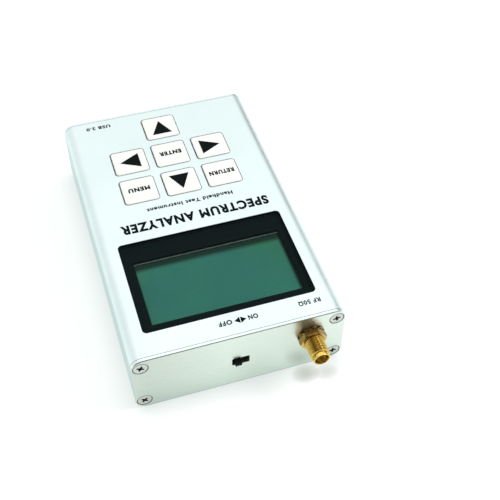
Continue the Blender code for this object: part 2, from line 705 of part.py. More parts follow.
def make_jack(assembly):
    place = Matrix.Translation((JACK_X, 0, JACK_Z)) @ FACING_FRONT
    tip = -JACK_TIP_Y
    plate_inside = CASE_LENGTH / 2 - PLATE_THICKNESS - SEAM
    shoulder_back = plate_inside - JACK_SHOULDER_LENGTH
    insulator_face = tip - JACK_BORE_DEPTH
    neck_top = tip - JACK_TIP_LENGTH
    thread_top = neck_top - JACK_NECK_LENGTH
    barrel_back = shoulder_back - SEAM
    barrel = [
        (JACK_BORE_RADIUS, tip),
        (JACK_TIP_RADIUS, tip),
        (JACK_TIP_RADIUS, neck_top),
        (JACK_NECK_RADIUS, neck_top),
        (JACK_NECK_RADIUS, thread_top),
        (JACK_THREAD_RADIUS, thread_top),
        (JACK_THREAD_RADIUS, barrel_back),
        (JACK_BORE_RADIUS, barrel_back),
    ]
    jack = assembly.add("coaxial_jack", turned(barrel, 32, ring=True), "gold", place)
    half = JACK_SHOULDER / 2
    shoulder = [(half, half), (-half, half), (-half, -half), (half, -half)]
    barrel_hole = circle((JACK_BORE_RADIUS + JACK_THREAD_RADIUS) / 2, points=32)
    assembly.boolean(jack, prism([shoulder, barrel_hole], shoulder_back, plate_inside), "UNION")
    leg_back = shoulder_back - JACK_LEG_LENGTH
    leg_front = shoulder_back + OVERLAP
    over_board = BOARD_TOP_Z + SEAM - JACK_Z
    under_board_edge = BOARD_BOTTOM_Z - SEAM - JACK_Z
    for left in (SEAM - half, half - SEAM - JACK_LEG):
        for low in (over_board, under_board_edge - JACK_LEG):
            leg = box((left, low, leg_back), (left + JACK_LEG, low + JACK_LEG, leg_front))
            assembly.boolean(jack, leg, "UNION")

    insulator = [
        (CONTACT_RADIUS + SEAM, insulator_face),
        (INSULATOR_RADIUS, insulator_face),
        (INSULATOR_RADIUS, shoulder_back),
        (CONTACT_RADIUS + SEAM, shoulder_back),
    ]
    contact_tip = insulator_face + CONTACT_PROUD
    contact_back = shoulder_back - CONTACT_PIN_LENGTH
    contact = [
        (0, contact_tip - CONTACT_BORE_DEPTH),
        (CONTACT_BORE_RADIUS, contact_tip - CONTACT_BORE_DEPTH),
        (CONTACT_BORE_RADIUS, contact_tip),
        (CONTACT_RADIUS, contact_tip),
        (CONTACT_RADIUS, shoulder_back),
        (JACK_PIN_RADIUS, shoulder_back),
        (JACK_PIN_RADIUS, contact_back),
        (0, contact_back),
    ]
    assembly.add("jack_insulator", turned(insulator, 24, ring=True), "insulator", place)
    assembly.add("jack_contact", turned(contact, 16), "gold", place)
    make_jack_fasteners(assembly, place)


def make_jack_fasteners(assembly, place):
    washer_back = CASE_LENGTH / 2 + SEAM
    nut_back = washer_back + WASHER_THICKNESS + SEAM
    hole = circle(JACK_THREAD_RADIUS + JACK_CLEARANCE, points=32)
    corner_radius = NUT_ACROSS_FLATS / math.sqrt(3)
    hexagon = arc((0, 0), corner_radius, NUT_TURN, NUT_TURN + 360, 6)[:-1]
    nut = prism([hexagon, hole], nut_back, nut_back + NUT_THICKNESS)
    assembly.add("jack_nut", nut, "gold", place)
    rim = []
    for tooth in range(WASHER_TEETH):
        start = 360 * tooth / WASHER_TEETH
        middle = start + 180 / WASHER_TEETH
        rim += arc((0, 0), WASHER_RADIUS, start, middle, 2)
        rim += arc((0, 0), WASHER_RADIUS - WASHER_TOOTH_DEPTH, middle, start + 360 / WASHER_TEETH, 2)
    washer = prism([rim, hole], washer_back, washer_back + WASHER_THICKNESS)
    assembly.add("jack_lock_washer", washer, "gold", place)


# The power switch.


def make_power_switch(assembly):
    half_width, depth = SWITCH_BODY[0] / 2, SWITCH_BODY[1]
    front = -CASE_LENGTH / 2 + PLATE_THICKNESS + 2 * SEAM
    top = BOARD_BOTTOM_Z - SEAM
    case = box((-half_width, front, SWITCH_BOTTOM_Z), (half_width, front + depth, top))
    body = assembly.add("power_switch_body", case, "black_plastic")
    slide_x, slide_z, slide_y = SLIDER_SIZE
    room_x = (slide_x + SWITCH_TRAVEL) / 2 + 2 * SEAM
    room_z = slide_z / 2 + 2 * SEAM
    room_front = front + SWITCH_WALL
    room_back = room_front + slide_y + 4 * SEAM
    slot_x = (KNOB_SIZE[0] + SWITCH_TRAVEL) / 2 + 2 * SEAM
    slot_z = KNOB_SIZE[1] / 2 + SEAM
    room = box((-room_x, room_front, SWITCH_Z - room_z), (room_x, room_back, SWITCH_Z + room_z))
    slot = box((-slot_x, front - MM, SWITCH_Z - slot_z), (slot_x, room_front + SEAM, SWITCH_Z + slot_z))
    assembly.boolean(body, room)
    assembly.boolean(body, slot)

    slider_y = room_front + SEAM + slide_y / 2
    knob_front = -CASE_LENGTH / 2 - KNOB_PROUD - slider_y
    half_knob_x, half_knob_z = KNOB_SIZE[0] / 2, KNOB_SIZE[1] / 2
    slider = box((-slide_x / 2, -slide_y / 2, -slide_z / 2), (slide_x / 2, slide_y / 2, slide_z / 2))
    off_place = Matrix.Translation((-SWITCH_TRAVEL / 2, slider_y, SWITCH_Z))
    knob = assembly.add("power_switch_knob", slider, "black_plastic", off_place)
    stem = box((-half_knob_x, knob_front, -half_knob_z), (half_knob_x, 0, half_knob_z))
    half_groove, groove_end = KNOB_GROOVE[0] / 2, knob_front + KNOB_GROOVE[1]
    grip_groove = box((-half_groove, knob_front - MM, -MM), (half_groove, groove_end, MM))
    assembly.boolean(knob, bevelled(stem, KNOB_EDGE, 1), "UNION")
    assembly.boolean(knob, grip_groove)


# The port, the charge lamp and the battery.


def make_port(assembly):
    mouth = CASE_LENGTH / 2 - PORT_MOUTH_SINK
    bottom = mouth - PORT_DEPTH
    place = Matrix.Translation((PORT_X, 0, PORT_Z)) @ FACING_BACK
    half_width, half_height = PORT_SIZE[0] / 2, PORT_SIZE[1] / 2

    def d_outline(inset):
        """The port's shape, with its two lower corners cut off."""
        w, h, s = half_width - inset, half_height - inset, PORT_SKIRT
        return [(w, h), (-w, h), (-w, -h + s), (-w + s, -h), (w - s, -h), (w, -h + s)]

    shell = assembly.add("port_shell", prism([d_outline(0)], bottom, mouth), "steel", place)
    assembly.boolean(shell, prism([d_outline(PORT_SHEET)], bottom + PORT_SHEET, mouth + MM))
    half_tongue_w, half_tongue_h = TONGUE_SIZE[0] / 2, TONGUE_SIZE[1] / 2
    tongue = box(
        (-half_tongue_w, TONGUE_LIFT - half_tongue_h, bottom + PORT_SHEET + SEAM),
        (half_tongue_w, TONGUE_LIFT + half_tongue_h, mouth - TONGUE_SINK),
    )
    assembly.add("port_tongue", tongue, "black_plastic", place)


def make_lamp(assembly):
    """The charge lamp: a lens with a domed end, in one with its body under the main board."""
    radius = LAMP_RADIUS - SEAM
    front = CASE_LENGTH / 2 - LAMP_SINK
    back = front - LAMP_LENGTH
    dome = [(0, front), (0.7 * radius, front - 0.2 * radius), (radius, front - 0.8 * radius)]
    place = Matrix.Translation((LAMP_X, 0, PORT_Z)) @ FACING_BACK
    lens = assembly.add("charge_lamp", turned([*dome, (radius, back), (0, back)], 16), "lamp", place)
    half_body, body_length = LAMP_BODY[0] / 2, LAMP_BODY[1]
    body_top = BOARD_BOTTOM_Z - SEAM - PORT_Z
    body = box((-half_body, -half_body, back - body_length), (half_body, body_top, back + OVERLAP))
    assembly.boolean(lens, body, "UNION")


def make_lead(assembly, name, material, points):
    """A round wire along straight runs, with its ends capped."""
    curve = bpy.data.curves.new(name, "CURVE")
    curve.dimensions = "3D"
    curve.bevel_depth = LEAD_RADIUS
    curve.bevel_resolution = 1
    curve.use_fill_caps = True
    spline = curve.splines.new("POLY")
    spline.points.add(len(points) - 1)
    for point, place in zip(spline.points, points):
        point.co = (*place, 1)
    obj = bpy.data.objects.new("lead", curve)
    bpy.context.scene.collection.objects.link(obj)
    assembly.add(name, as_mesh(obj), material)


def lead_path(start, end, steps=8):
    """An S between two points: level at both ends, with most of its rise in the middle."""
    points = []
    for step in range(steps + 1):
        share = step / steps
        ease = share * share * (3 - 2 * share)
        points.append((
            start[0] + (end[0] - start[0]) * ease,
            start[1] + (end[1] - start[1]) * share,
            start[2] + (end[2] - start[2]) * ease,
        ))
    return points


def make_battery(assembly):
    width, length, thickness = BATTERY
    middle_z = BATTERY_BOTTOM_Z + thickness / 2
    section = rounded_rectangle(width, thickness, BATTERY_CORNER, (0, middle_z))
    cell = prism([section], -length / 2, length / 2)
    place = Matrix.Translation((0, BATTERY_CENTRE_Y, 0)) @ FACING_FRONT
    assembly.add("battery_cell", cell, "battery", place)

    plug_x, plug_y = PLUG_PLACE
    plug_z = BOARD_BOTTOM_Z - SEAM - PLUG_SIZE[2] / 2
    assembly.add("battery_plug", under_board(*PLUG_SIZE, plug_x, plug_y), "insulator")
    cell_end = BATTERY_CENTRE_Y - length / 2 - LEAD_GAP
    plug_end = plug_y + PLUG_SIZE[1] / 2 + LEAD_GAP
    for name, side in (("red_lead", 1), ("black_lead", -1)):
        start = (LEAD_START_X + side * LEAD_SPREAD_AT_CELL, cell_end, middle_z)
        end = (plug_x + side * LEAD_SPREAD_AT_PLUG, plug_end, plug_z)
        make_lead(assembly, f"battery_{name}", name, lead_path(start, end))


def build():
    clear_scene()
    assembly = Assembly()
    make_shells(assembly)
    make_ends(assembly)
    make_display(assembly)
    make_keys(assembly)
    make_main_board(assembly)
    make_components(assembly)
    make_jack(assembly)
    make_power_switch(assembly)
    make_port(assembly)
    make_lamp(assembly)
    make_battery(assembly)


build()
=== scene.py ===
"""The looks of the handheld spectrum analyzer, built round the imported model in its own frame.

The case lies on its back: +Z points out of the display and -Y out of the plate with the coaxial input. The
lettering is read from +Y. Everything is in metres, and MM turns a size in millimetres into metres.
"""

import json
import math

import bmesh
import bpy
from mathutils import Matrix, Vector


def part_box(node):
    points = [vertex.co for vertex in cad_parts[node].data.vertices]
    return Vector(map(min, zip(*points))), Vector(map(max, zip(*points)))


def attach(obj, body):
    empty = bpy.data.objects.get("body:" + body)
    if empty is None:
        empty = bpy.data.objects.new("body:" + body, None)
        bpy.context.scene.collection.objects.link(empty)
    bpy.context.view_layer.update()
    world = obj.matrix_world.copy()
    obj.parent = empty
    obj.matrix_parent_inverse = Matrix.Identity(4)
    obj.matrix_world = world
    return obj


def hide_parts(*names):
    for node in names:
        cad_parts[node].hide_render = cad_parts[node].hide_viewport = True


MM = 0.001
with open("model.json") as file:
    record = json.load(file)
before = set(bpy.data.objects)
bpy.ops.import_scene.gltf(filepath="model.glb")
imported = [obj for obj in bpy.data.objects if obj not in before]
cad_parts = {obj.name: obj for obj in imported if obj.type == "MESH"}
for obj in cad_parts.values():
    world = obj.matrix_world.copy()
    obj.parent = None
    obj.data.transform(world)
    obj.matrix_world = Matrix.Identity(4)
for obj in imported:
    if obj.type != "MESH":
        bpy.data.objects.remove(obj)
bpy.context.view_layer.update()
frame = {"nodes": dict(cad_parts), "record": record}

KEYS = ("menu", "up", "return", "right", "enter", "left", "down")

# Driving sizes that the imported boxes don't give. They match the solids.
CORNER_RADIUS = 4 * MM
WALL = 1.5 * MM
SEAM = 0.1 * MM
TONGUE_HEIGHT = 0.9 * MM
SPLIT_CHAMFER = 0.22 * MM
SCREW_X = 32 * MM
SCREW_INSET_Z = 3.7 * MM
BOSS_RADIUS = 2.6 * MM
PILOT_RADIUS = 1.4 * MM
RAIL_DEPTH = 1.9 * MM
RAIL_THICKNESS = 1.2 * MM
RAIL_CLEARANCE = 0.15 * MM
KEY_FLANGE = 0.6 * MM
KEY_FLANGE_THICKNESS = 1 * MM
KEY_STEM_RADIUS = 2.55 * MM
KEY_GAP = 0.3 * MM
KEY_CORNER = 1.1 * MM
KEY_OPENING_SHIFT = (-0.12 * MM, 0.08 * MM)
WINDOW_CLEARANCE = 0.1 * MM
WINDOW_CORNER = 1.5 * MM
VIEW_CENTRE = (0.3 * MM, -30.2 * MM)
VIEW_SIZE = (50.3 * MM, 25.7 * MM)
MASK_OPENING = (51.3 * MM, 26.7 * MM)
SWITCH_SLOT = (5.8 * MM, 3.4 * MM)
PORT_OPENING = (8.5 * MM, 4.7 * MM)
AXIS = 0.01 * MM  # a radius that stands for a turned shape's middle
JACK_HOLE = 3.3 * MM
LAMP_HOLE = 1 * MM

# The case's box, and the planes worked out from it.
TOP_LOW, TOP_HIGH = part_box("top_shell")
HALF_WIDTH = TOP_HIGH.x
HEIGHT = TOP_HIGH.z
SHELL_HALF_LENGTH = TOP_HIGH.y
SEAM_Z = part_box("bottom_shell")[1].z
BOARD_LOW, BOARD_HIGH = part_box("main_board")
FRONT_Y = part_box("connector_plate")[0].y
BACK_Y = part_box("port_plate")[1].y
PLATE_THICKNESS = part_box("connector_plate")[1].y - FRONT_Y

FACING_FRONT = Matrix.Rotation(math.radians(90), 4, "X")  # local +Z becomes -Y, and local +Y becomes +Z
FACING_BACK = Matrix.Rotation(math.pi, 4, "Z") @ FACING_FRONT


def centre_of(name):
    """The centre of a node's box."""
    low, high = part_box(name)
    return [(a + b) / 2 for a, b in zip(low, high)]


def depths(name):
    """How far in front of y = 0 a node's back and front are."""
    low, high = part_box(name)
    return -high.y, -low.y


# Outlines: lists of (x, y) points that run anticlockwise.


def arc(centre, radius, start, end, steps):
    """Points on an arc from start to end, in degrees."""
    points = []
    for step in range(steps + 1):
        angle = math.radians(start + (end - start) * step / steps)
        points.append((centre[0] + radius * math.cos(angle), centre[1] + radius * math.sin(angle)))
    return points


def circle(radius, centre=(0, 0), points=64):
    return arc(centre, radius, 0, 360, points)[:-1]


def rounded_rectangle(width, height, radius, centre=(0, 0), steps=8):
    """A function that gives the rounded rectangle grown by an amount."""

    def outline(grow):
        corner_radius = max(radius + grow, 0.02 * MM)
        inset = grow - corner_radius
        points = []
        for quadrant, (side_x, side_y) in enumerate(((1, 1), (-1, 1), (-1, -1), (1, -1))):
            corner = (centre[0] + side_x * (width / 2 + inset), centre[1] + side_y * (height / 2 + inset))
            points += arc(corner, corner_radius, 90 * quadrant, 90 * quadrant + 90, steps)
        return points

    return outline


def mirrored(points):
    """An outline's right half, followed by its mirror image on the left."""
    return points + [(-x, y) for x, y in reversed(points)]


# Meshes.


def mesh_of(shape):
    """A new mesh from a bmesh, which is freed."""
    mesh = bpy.data.meshes.new("mesh")
    shape.to_mesh(mesh)
    shape.free()
    return mesh


def as_mesh(obj):
    """The evaluated shape of an object as a welded mesh. The object is removed."""
    bpy.context.view_layer.update()
    graph = bpy.context.evaluated_depsgraph_get()
    mesh = bpy.data.meshes.new_from_object(obj.evaluated_get(graph))
    bpy.data.objects.remove(obj)
    shape = bmesh.new()
    shape.from_mesh(mesh)
    bmesh.ops.remove_doubles(shape, verts=shape.verts, dist=1e-7)
    return mesh_of(shape)


def working_object(name, data):
    obj = bpy.data.objects.new(name, data)
    bpy.context.scene.collection.objects.link(obj)
    return obj


def prism(loops, low, high):
    """A mesh of flat outlines, with the inner ones as holes, from low to high along Z."""
    curve = bpy.data.curves.new("outline", "CURVE")
    curve.dimensions = "2D"
    curve.fill_mode = "BOTH"
    curve.extrude = (high - low) / 2
    for loop in loops:
        spline = curve.splines.new("POLY")
        spline.points.add(len(loop) - 1)
        for point, (x, y) in zip(spline.points, loop):
            point.co = (x, y, 0, 1)
        spline.use_cyclic_u = True
    mesh = as_mesh(working_object("outline", curve))
    mesh.transform(Matrix.Translation((0, 0, (high + low) / 2)))
    return mesh


def rounded_layers(outline, low, high, radius, steps=4):
    """Layers of a plate whose upper edge is rounded."""
    layers = [(outline(0), low)]
    for step in range(steps + 1):
        angle = math.pi / 2 * step / steps
        layers.append((outline(radius * (math.cos(angle) - 1)), high - radius * (1 - math.sin(angle))))
    return layers


def flared_cutter(outline, low, mouth, flare):
    """A cutter whose mouth, at the height given, opens by a small rounded flare."""
    return stack([
        (outline(0), low),
        (outline(0), mouth - flare),
        (outline(0.3 * flare), mouth - 0.3 * flare),
        (outline(flare), mouth),
        (outline(flare), mouth + 1 * MM),
    ])


def ring_mesh(rings, closed=False):
    """A mesh through rings of points, from the highest to the lowest. A closed one joins its last ring to its
    first, and an open one is capped at both ends."""
    shape = bmesh.new()
    loops = [[shape.verts.new(point) for point in ring] for ring in rings]
    count = len(loops[0])
    pairs = list(zip(loops, loops[1:]))
    if closed:
        pairs.append((loops[-1], loops[0]))
    for upper, lower in pairs:
        for i in range(count):
            j = (i + 1) % count
            shape.faces.new((upper[i], lower[i], lower[j], upper[j]))
    if not closed:
        shape.faces.new(loops[0])
        shape.faces.new(loops[-1][::-1])
    return mesh_of(shape)


def stack(layers):
    """A closed mesh through (outline, z) layers of equal point counts, from the lowest to the highest."""
    return ring_mesh([[(x, y, z) for x, y in outline] for outline, z in reversed(layers)])


def rings(profile, steps=64):
    """Circles about Z from (radius, z) points."""
    return [[(x, y, z) for x, y in circle(radius, points=steps)] for radius, z in profile]


def turned(profile, steps=64, closed=False):
    """A mesh turned about Z from (radius, z) points that run down its outer side."""
    return ring_mesh(rings(profile, steps), closed)


def box_mesh(low, high):
    shape = bmesh.new()
    size = [b - a for a, b in zip(low, high)]
    centre = [(a + b) / 2 for a, b in zip(low, high)]
    bmesh.ops.create_cube(shape, size=1, matrix=Matrix.Translation(centre) @ Matrix.Diagonal((*size, 1)))
    return mesh_of(shape)


def merged(*meshes):
    """Several separate meshes as one."""
    shape = bmesh.new()
    for mesh in meshes:
        shape.from_mesh(mesh)
    return mesh_of(shape)


def placed(mesh, matrix):
    copy = mesh.copy()
    copy.transform(matrix)
    return copy


def combined(mesh, *steps):
    """A mesh after a row of Boolean steps, each (operation, mesh)."""
    for operation, other in steps:
        obj = working_object("target", mesh)
        tool = working_object("tool", other)
        modifier = obj.modifiers.new("Boolean", "BOOLEAN")
        modifier.operation = operation
        modifier.solver = "EXACT"
        modifier.object = tool
        mesh = as_mesh(obj)
        bpy.data.objects.remove(tool)
    return mesh


def bevelled(mesh, width):
    """A mesh whose edges sharper than 50 degrees are rounded."""
    obj = working_object("bevelled", mesh)
    bevel = obj.modifiers.new("Bevel", "BEVEL")
    bevel.width = width
    bevel.segments = 2
    bevel.limit_method = "ANGLE"
    bevel.angle_limit = math.radians(50)
    bevel.use_clamp_overlap = False
    return as_mesh(obj)


def sliced(mesh, axis, places):
    """A mesh whose faces are cut at planes across one axis, so that each hole gets a face of its own."""
    shape = bmesh.new()
    shape.from_mesh(mesh)
    normal = Vector([float(index == axis) for index in range(3)])
    for place in places:
        everything = [*shape.verts, *shape.edges, *shape.faces]
        bmesh.ops.bisect_plane(shape, geom=everything, plane_co=place * normal, plane_no=normal)
    return mesh_of(shape)


def piece(name, mesh, finish, replaces=(), body="case"):
    """A finished piece: named, shaded, given its material, and tied to a body of the frame."""
    obj = working_object(name, mesh)
    mesh.name = name
    mesh.shade_smooth()
    mesh.set_sharp_from_angle(angle=math.radians(35))
    mesh.materials.clear()
    mesh.materials.append(MATERIALS[finish])
    normals = obj.modifiers.new("Weighted normals", "WEIGHTED_NORMAL")
    normals.keep_sharp = True
    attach(obj, body)
    if replaces:
        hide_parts(*replaces)
    return obj


def paint(mesh, finish, chosen):
    """Gives another material to the faces that a test chooses."""
    mesh.materials.append(MATERIALS[finish])
    for face in mesh.polygons:
        if chosen(face):
            face.material_index = len(mesh.materials) - 1


def set_span(node, low, high, to_low, to_high):
    """Sets a Map Range node's two ranges."""
    for key, number in (("From Min", low), ("From Max", high), ("To Min", to_low), ("To Max", to_high)):
        node.inputs[key].default_value = number
    return node.outputs[0]


# Materials. Each is a Principled shader with noise at the scale of its own grain.


class Shader:
    """A material's node tree, with short ways to add and join nodes."""

    def __init__(self, name, colour, roughness, metallic=0.0):
        self.material = bpy.data.materials.new(name)
        self.material.use_nodes = True
        self.tree = self.material.node_tree
        self.surface = self.tree.nodes["Principled BSDF"]
        self.place = self.node("ShaderNodeTexCoord").outputs["Object"]
        self.set(Roughness=roughness, Metallic=metallic)
        self.colour = self.rgb(colour)
        self.roughness = self.number(roughness)

    def node(self, kind, **settings):
        node = self.tree.nodes.new(kind)
        for key, value in settings.items():
            setattr(node, key, value)
        return node

    def join(self, source, target):
        self.tree.links.new(source, target)

    def set(self, **inputs):
        for key, value in inputs.items():
            self.surface.inputs[key.replace("_", " ")].default_value = value

    def rgb(self, colour):
        node = self.node("ShaderNodeRGB")
        node.outputs[0].default_value = (*colour, 1)
        return node.outputs[0]

    def number(self, value):
        node = self.node("ShaderNodeValue")
        node.outputs[0].default_value = value
        return node.outputs[0]

    def noise(self, size, detail=2.0, stretch=(1, 1, 1)):
        """Noise from 0 to 1. Its features are about this many metres across, divided by the stretch."""
        place = self.node("ShaderNodeVectorMath", operation="MULTIPLY")
        self.join(self.place, place.inputs[0])
        place.inputs[1].default_value = stretch
        node = self.node("ShaderNodeTexNoise")
        self.join(place.outputs[0], node.inputs["Vector"])
        node.inputs["Scale"].default_value = 1 / size
        node.inputs["Detail"].default_value = detail
        return node.outputs[0]

    def span(self, value, low, high, to_low, to_high):
        """A signal from to_low to to_high, as a value goes from low to high."""
        node = self.node("ShaderNodeMapRange")
        self.join(value, node.inputs["Value"])
        return set_span(node, low, high, to_low, to_high)

    def maths(self, operation, first, second=0.0):
        node = self.node("ShaderNodeMath", operation=operation)
        for index, value in enumerate((first, second)):
            if isinstance(value, (int, float)):
                node.inputs[index].default_value = value
            else:
                self.join(value, node.inputs[index])
        return node.outputs[0]

    def mix(self, first, second, factor):
        node = self.node("ShaderNodeMix", data_type="RGBA")
        self.join(factor, node.inputs[0])
        self.join(first, node.inputs[6])
        self.join(second, node.inputs[7])
        return node.outputs[2]

    def part(self, vector, axis):
        node = self.node("ShaderNodeSeparateXYZ")
        self.join(vector, node.inputs[0])
        return node.outputs[axis]

    def coordinate(self, axis):
        return self.part(self.place, axis)

    def facing(self, axis):
        """The surface's normal along one axis."""
        return self.part(self.node("ShaderNodeNewGeometry").outputs["Normal"], axis)

    def grazing(self, low, high, amount):
        """0 where the surface faces the viewer, rising to an amount where it turns away."""
        node = self.node("ShaderNodeLayerWeight")
        return self.span(node.outputs["Facing"], low, high, 0, amount)

    def tint(self, colour, factor):
        """Mixes a colour into the material's colour, by a factor."""
        self.colour = self.mix(self.colour, self.rgb(colour), factor)

    def patch(self, colour, signal, low, high, amount=1.0):
        """Tints by up to an amount, as a signal goes from low to high."""
        self.tint(colour, self.span(signal, low, high, 0, amount))

    def paint_shade_in_hollows(self, colour, reach, amount):
        """Paints shade into grooves and corners."""
        self.tint(colour, self.maths("MULTIPLY", self.hollows(reach), amount))

    def roughen(self, signal, least, most, low=0.3, high=0.7):
        """Adds from least to most to the roughness, as a signal goes from low to high."""
        self.roughness = self.maths("ADD", self.roughness, self.span(signal, low, high, least, most))

    def bump(self, height, distance):
        """Adds a relief of this many metres."""
        node = self.node("ShaderNodeBump")
        node.inputs["Distance"].default_value = distance
        self.join(height, node.inputs["Height"])
        if self.surface.inputs["Normal"].is_linked:
            self.join(self.surface.inputs["Normal"].links[0].from_socket, node.inputs["Normal"])
        self.join(node.outputs[0], self.surface.inputs["Normal"])

    def hollows(self, distance):
        """1 deep in grooves and corners, and 0 in the open."""
        node = self.node("ShaderNodeAmbientOcclusion", samples=6)
        node.inputs["Distance"].default_value = distance
        return self.span(node.outputs["AO"], 0.3, 0.95, 1.0, 0.0)

    def stripes(self, axis, pitch, share):
        """1 on stripes across an axis that cover a share of each pitch, and 0 between them."""
        phase = self.maths("FRACT", self.maths("DIVIDE", self.coordinate(axis), pitch))
        return self.maths("LESS_THAN", phase, share)

    def weathered(self, size, detail, least, most, grain, relief):
        """Finishes a material with patchy roughness and a fine relief, all sizes in mm."""
        self.roughen(self.noise(size * MM, detail), least, most)
        self.bump(self.noise(grain * MM, 2), relief * MM)
        return self.finish()

    def finish(self):
        self.join(self.colour, self.surface.inputs["Base Color"])
        self.join(self.roughness, self.surface.inputs["Roughness"])
        return self.material


def scaled(colour, factor):
    return [min(1, channel * factor) for channel in colour]


def anodised(name, colour, roughness, along, crevice=0.6, fade=1.0):
    """Bead-blasted and anodised aluminium, with faint lines along one axis, painted shade in its crevices,
    and painted shade where it turns away from the view. Where it fades, painted shade darkens it towards -X
    and along its foot."""
    shader = Shader(name, colour, roughness, 1.0)
    grain = shader.noise(0.16 * MM, 3)
    lines = shader.noise(0.3 * MM, 3, along)
    cloud = shader.noise(22 * MM, 2)
    shader.patch(scaled(colour, 1.05), grain, 0.35, 0.7, 0.8)
    shader.patch(scaled(colour, 0.95), cloud, 0.4, 0.7, 0.5)
    # Painted shade: darker towards -X, and a painted contact shadow along the foot.
    if fade < 1:
        shader.patch(scaled(colour, fade), shader.coordinate(0), -5 * MM, -30 * MM)
        shader.patch(scaled(colour, 0.4), shader.coordinate(2), 0.5 * MM, 0.2 * MM)
    # Painted shade: darker where the surface turns away from the view, darkest at the silhouette.
    shader.tint(scaled(colour, 0.6), shader.grazing(0.70, 0.90, 0.5))
    shader.tint(scaled(colour, 0.3), shader.grazing(0.90, 1.0, 0.1))
    # Painted shade in the crevices.
    shader.paint_shade_in_hollows((0.05, 0.06, 0.06), 0.4 * MM, crevice)
    shader.roughen(grain, -0.05, 0.05)
    shader.roughen(cloud, -0.03, 0.04)
    shader.roughen(lines, -0.03, 0.03)
    shader.bump(grain, 0.010 * MM)
    shader.bump(lines, 0.002 * MM)
    shader.set(Specular_Tint=(0.86, 0.97, 0.965, 1))
    return shader.finish()


def plated(name, colour, dark, roughness, shade_and_grime, reach):
    """Polished plating that is duller down in its grooves, and darker there with painted shade and grime."""
    shader = Shader(name, colour, roughness, 1.0)
    hollow = shader.hollows(reach)
    smear = shader.noise(0.9 * MM, 3)
    shader.patch(scaled(colour, 0.75), smear, 0.45, 0.75, 0.6)
    # Painted shade and grime in the grooves.
    shader.patch(dark, hollow, 0, 1, shade_and_grime)
    shader.roughen(smear, -0.04, 0.08)
    shader.roughen(hollow, 0, 0.2, 0, 1)
    shader.bump(shader.noise(0.08 * MM, 2), 0.0012 * MM)
    return shader.finish()


def gold_with_painted_shade():
    """The nut's and the washer's plating: bright in front, with brown painted shade on the flats that face up
    and painted shade in its hollows.
    """
    shader = Shader("gold_plating_with_painted_shade", (0.84, 0.66, 0.20), 0.22, 1.0)
    # Painted shade: brown on the flats that face up, and dark in the hollows.
    shader.patch((0.26, 0.12, 0.03), shader.facing(2), -0.3, 0.3, 0.85)
    shader.paint_shade_in_hollows((0.10, 0.05, 0.005), 0.9 * MM, 0.9)
    return shader.weathered(0.9, 3, -0.04, 0.1, 0.08, 0.0012)


def cut_edge_and_highlight():
    """Sheet metal's cut edge inside the window: bare, pale and rough. Given only to the wall that faces -Y,
    it is also a painted highlight.
    """
    shader = Shader("cut_edge_and_highlight", (0.50, 0.54, 0.50), 0.6)
    shader.patch((0.3, 0.3, 0.3), shader.noise(0.4 * MM, 2, (1, 1, 0.2)), 0.4, 0.7, 0.6)
    return shader.weathered(0.2, 2, -0.05, 0.1, 0.1, 0.01)


def moulded(name, colour, roughness, grain_mm=0.3, relief_mm=0.004, dust=0.0, specular=0.5):
    """Moulded plastic with a fine spark-eroded grain."""
    shader = Shader(name, colour, roughness)
    grain = shader.noise(grain_mm * MM, 2)
    cloud = shader.noise(5 * MM, 3)
    shader.patch(scaled(colour, 0.93), cloud, 0.4, 0.75, 0.7)
    shader.roughen(grain, -0.05, 0.06)
    shader.roughen(cloud, -0.03, 0.05)
    shader.bump(grain, relief_mm * MM)
    shader.set(Specular_IOR_Level=specular)
    if dust:
        shader.patch((0.5, 0.5, 0.48), shader.noise(0.35 * MM, 4), 0.68, 0.8, dust)
    return shader.finish()


def key_plastic():
    """Warm white plastic, with painted shade where the cap meets its gap, strongest on the walls that face
    -X.
    """
    shader = Shader("key_plastic", (0.95, 0.96, 0.925), 0.42)
    grain = shader.noise(0.12 * MM, 2)
    shader.patch((0.93, 0.94, 0.90), shader.noise(3 * MM, 3), 0.4, 0.75, 0.7)
    # Painted shade in the gap, strongest on the walls that face -X.
    shader.paint_shade_in_hollows((0.02, 0.02, 0.018), 0.6 * MM, shader.span(shader.facing(0), -1, -0.3, 1.0, 0.2))
    shader.roughen(grain, -0.05, 0.07)
    shader.bump(grain, 0.004 * MM)
    shader.set(Subsurface_Weight=0.08, Subsurface_Scale=0.4 * MM)
    return shader.finish()


def liquid_crystal():
    """The green display glass: teal in the middle, greener at a corner, with a faint grid of dots and a dark
    band along the far and right sides under the bezel, partly the glass's own dark rim and partly painted
    shadow."""
    shader = Shader("liquid_crystal", (0.026, 0.155, 0.110), 0.3)
    across, along = shader.coordinate(0), shader.coordinate(1)
    slope = shader.maths("ADD", shader.maths("MULTIPLY", across, 0.7), along)
    shader.patch((0.030, 0.160, 0.055), slope, -18 * MM, -2 * MM)
    shader.patch((0.040, 0.170, 0.070), across, -20.5 * MM, -25 * MM, 0.9)
    shader.patch((0.022, 0.135, 0.115), shader.noise(18 * MM, 1), 0.35, 0.7, 0.8)
    for axis in (0, 1):
        gap = shader.stripes(axis, 0.39 * MM, 0.10)
        shader.tint((0.05, 0.19, 0.15), shader.maths("MULTIPLY", gap, 0.2))
    # Painted shadow of the bezel along the far and right sides, over the glass's own dark rim.
    border_and_shadow = (0.003, 0.024, 0.016)
    shader.patch(border_and_shadow, along, -20.9 * MM, -19.2 * MM)
    shader.patch(border_and_shadow, across, 24.3 * MM, 25.6 * MM)
    shader.set(Specular_IOR_Level=0.1)
    return shader.weathered(0.5, 2, -0.04, 0.06, 0.1, 0.0008)


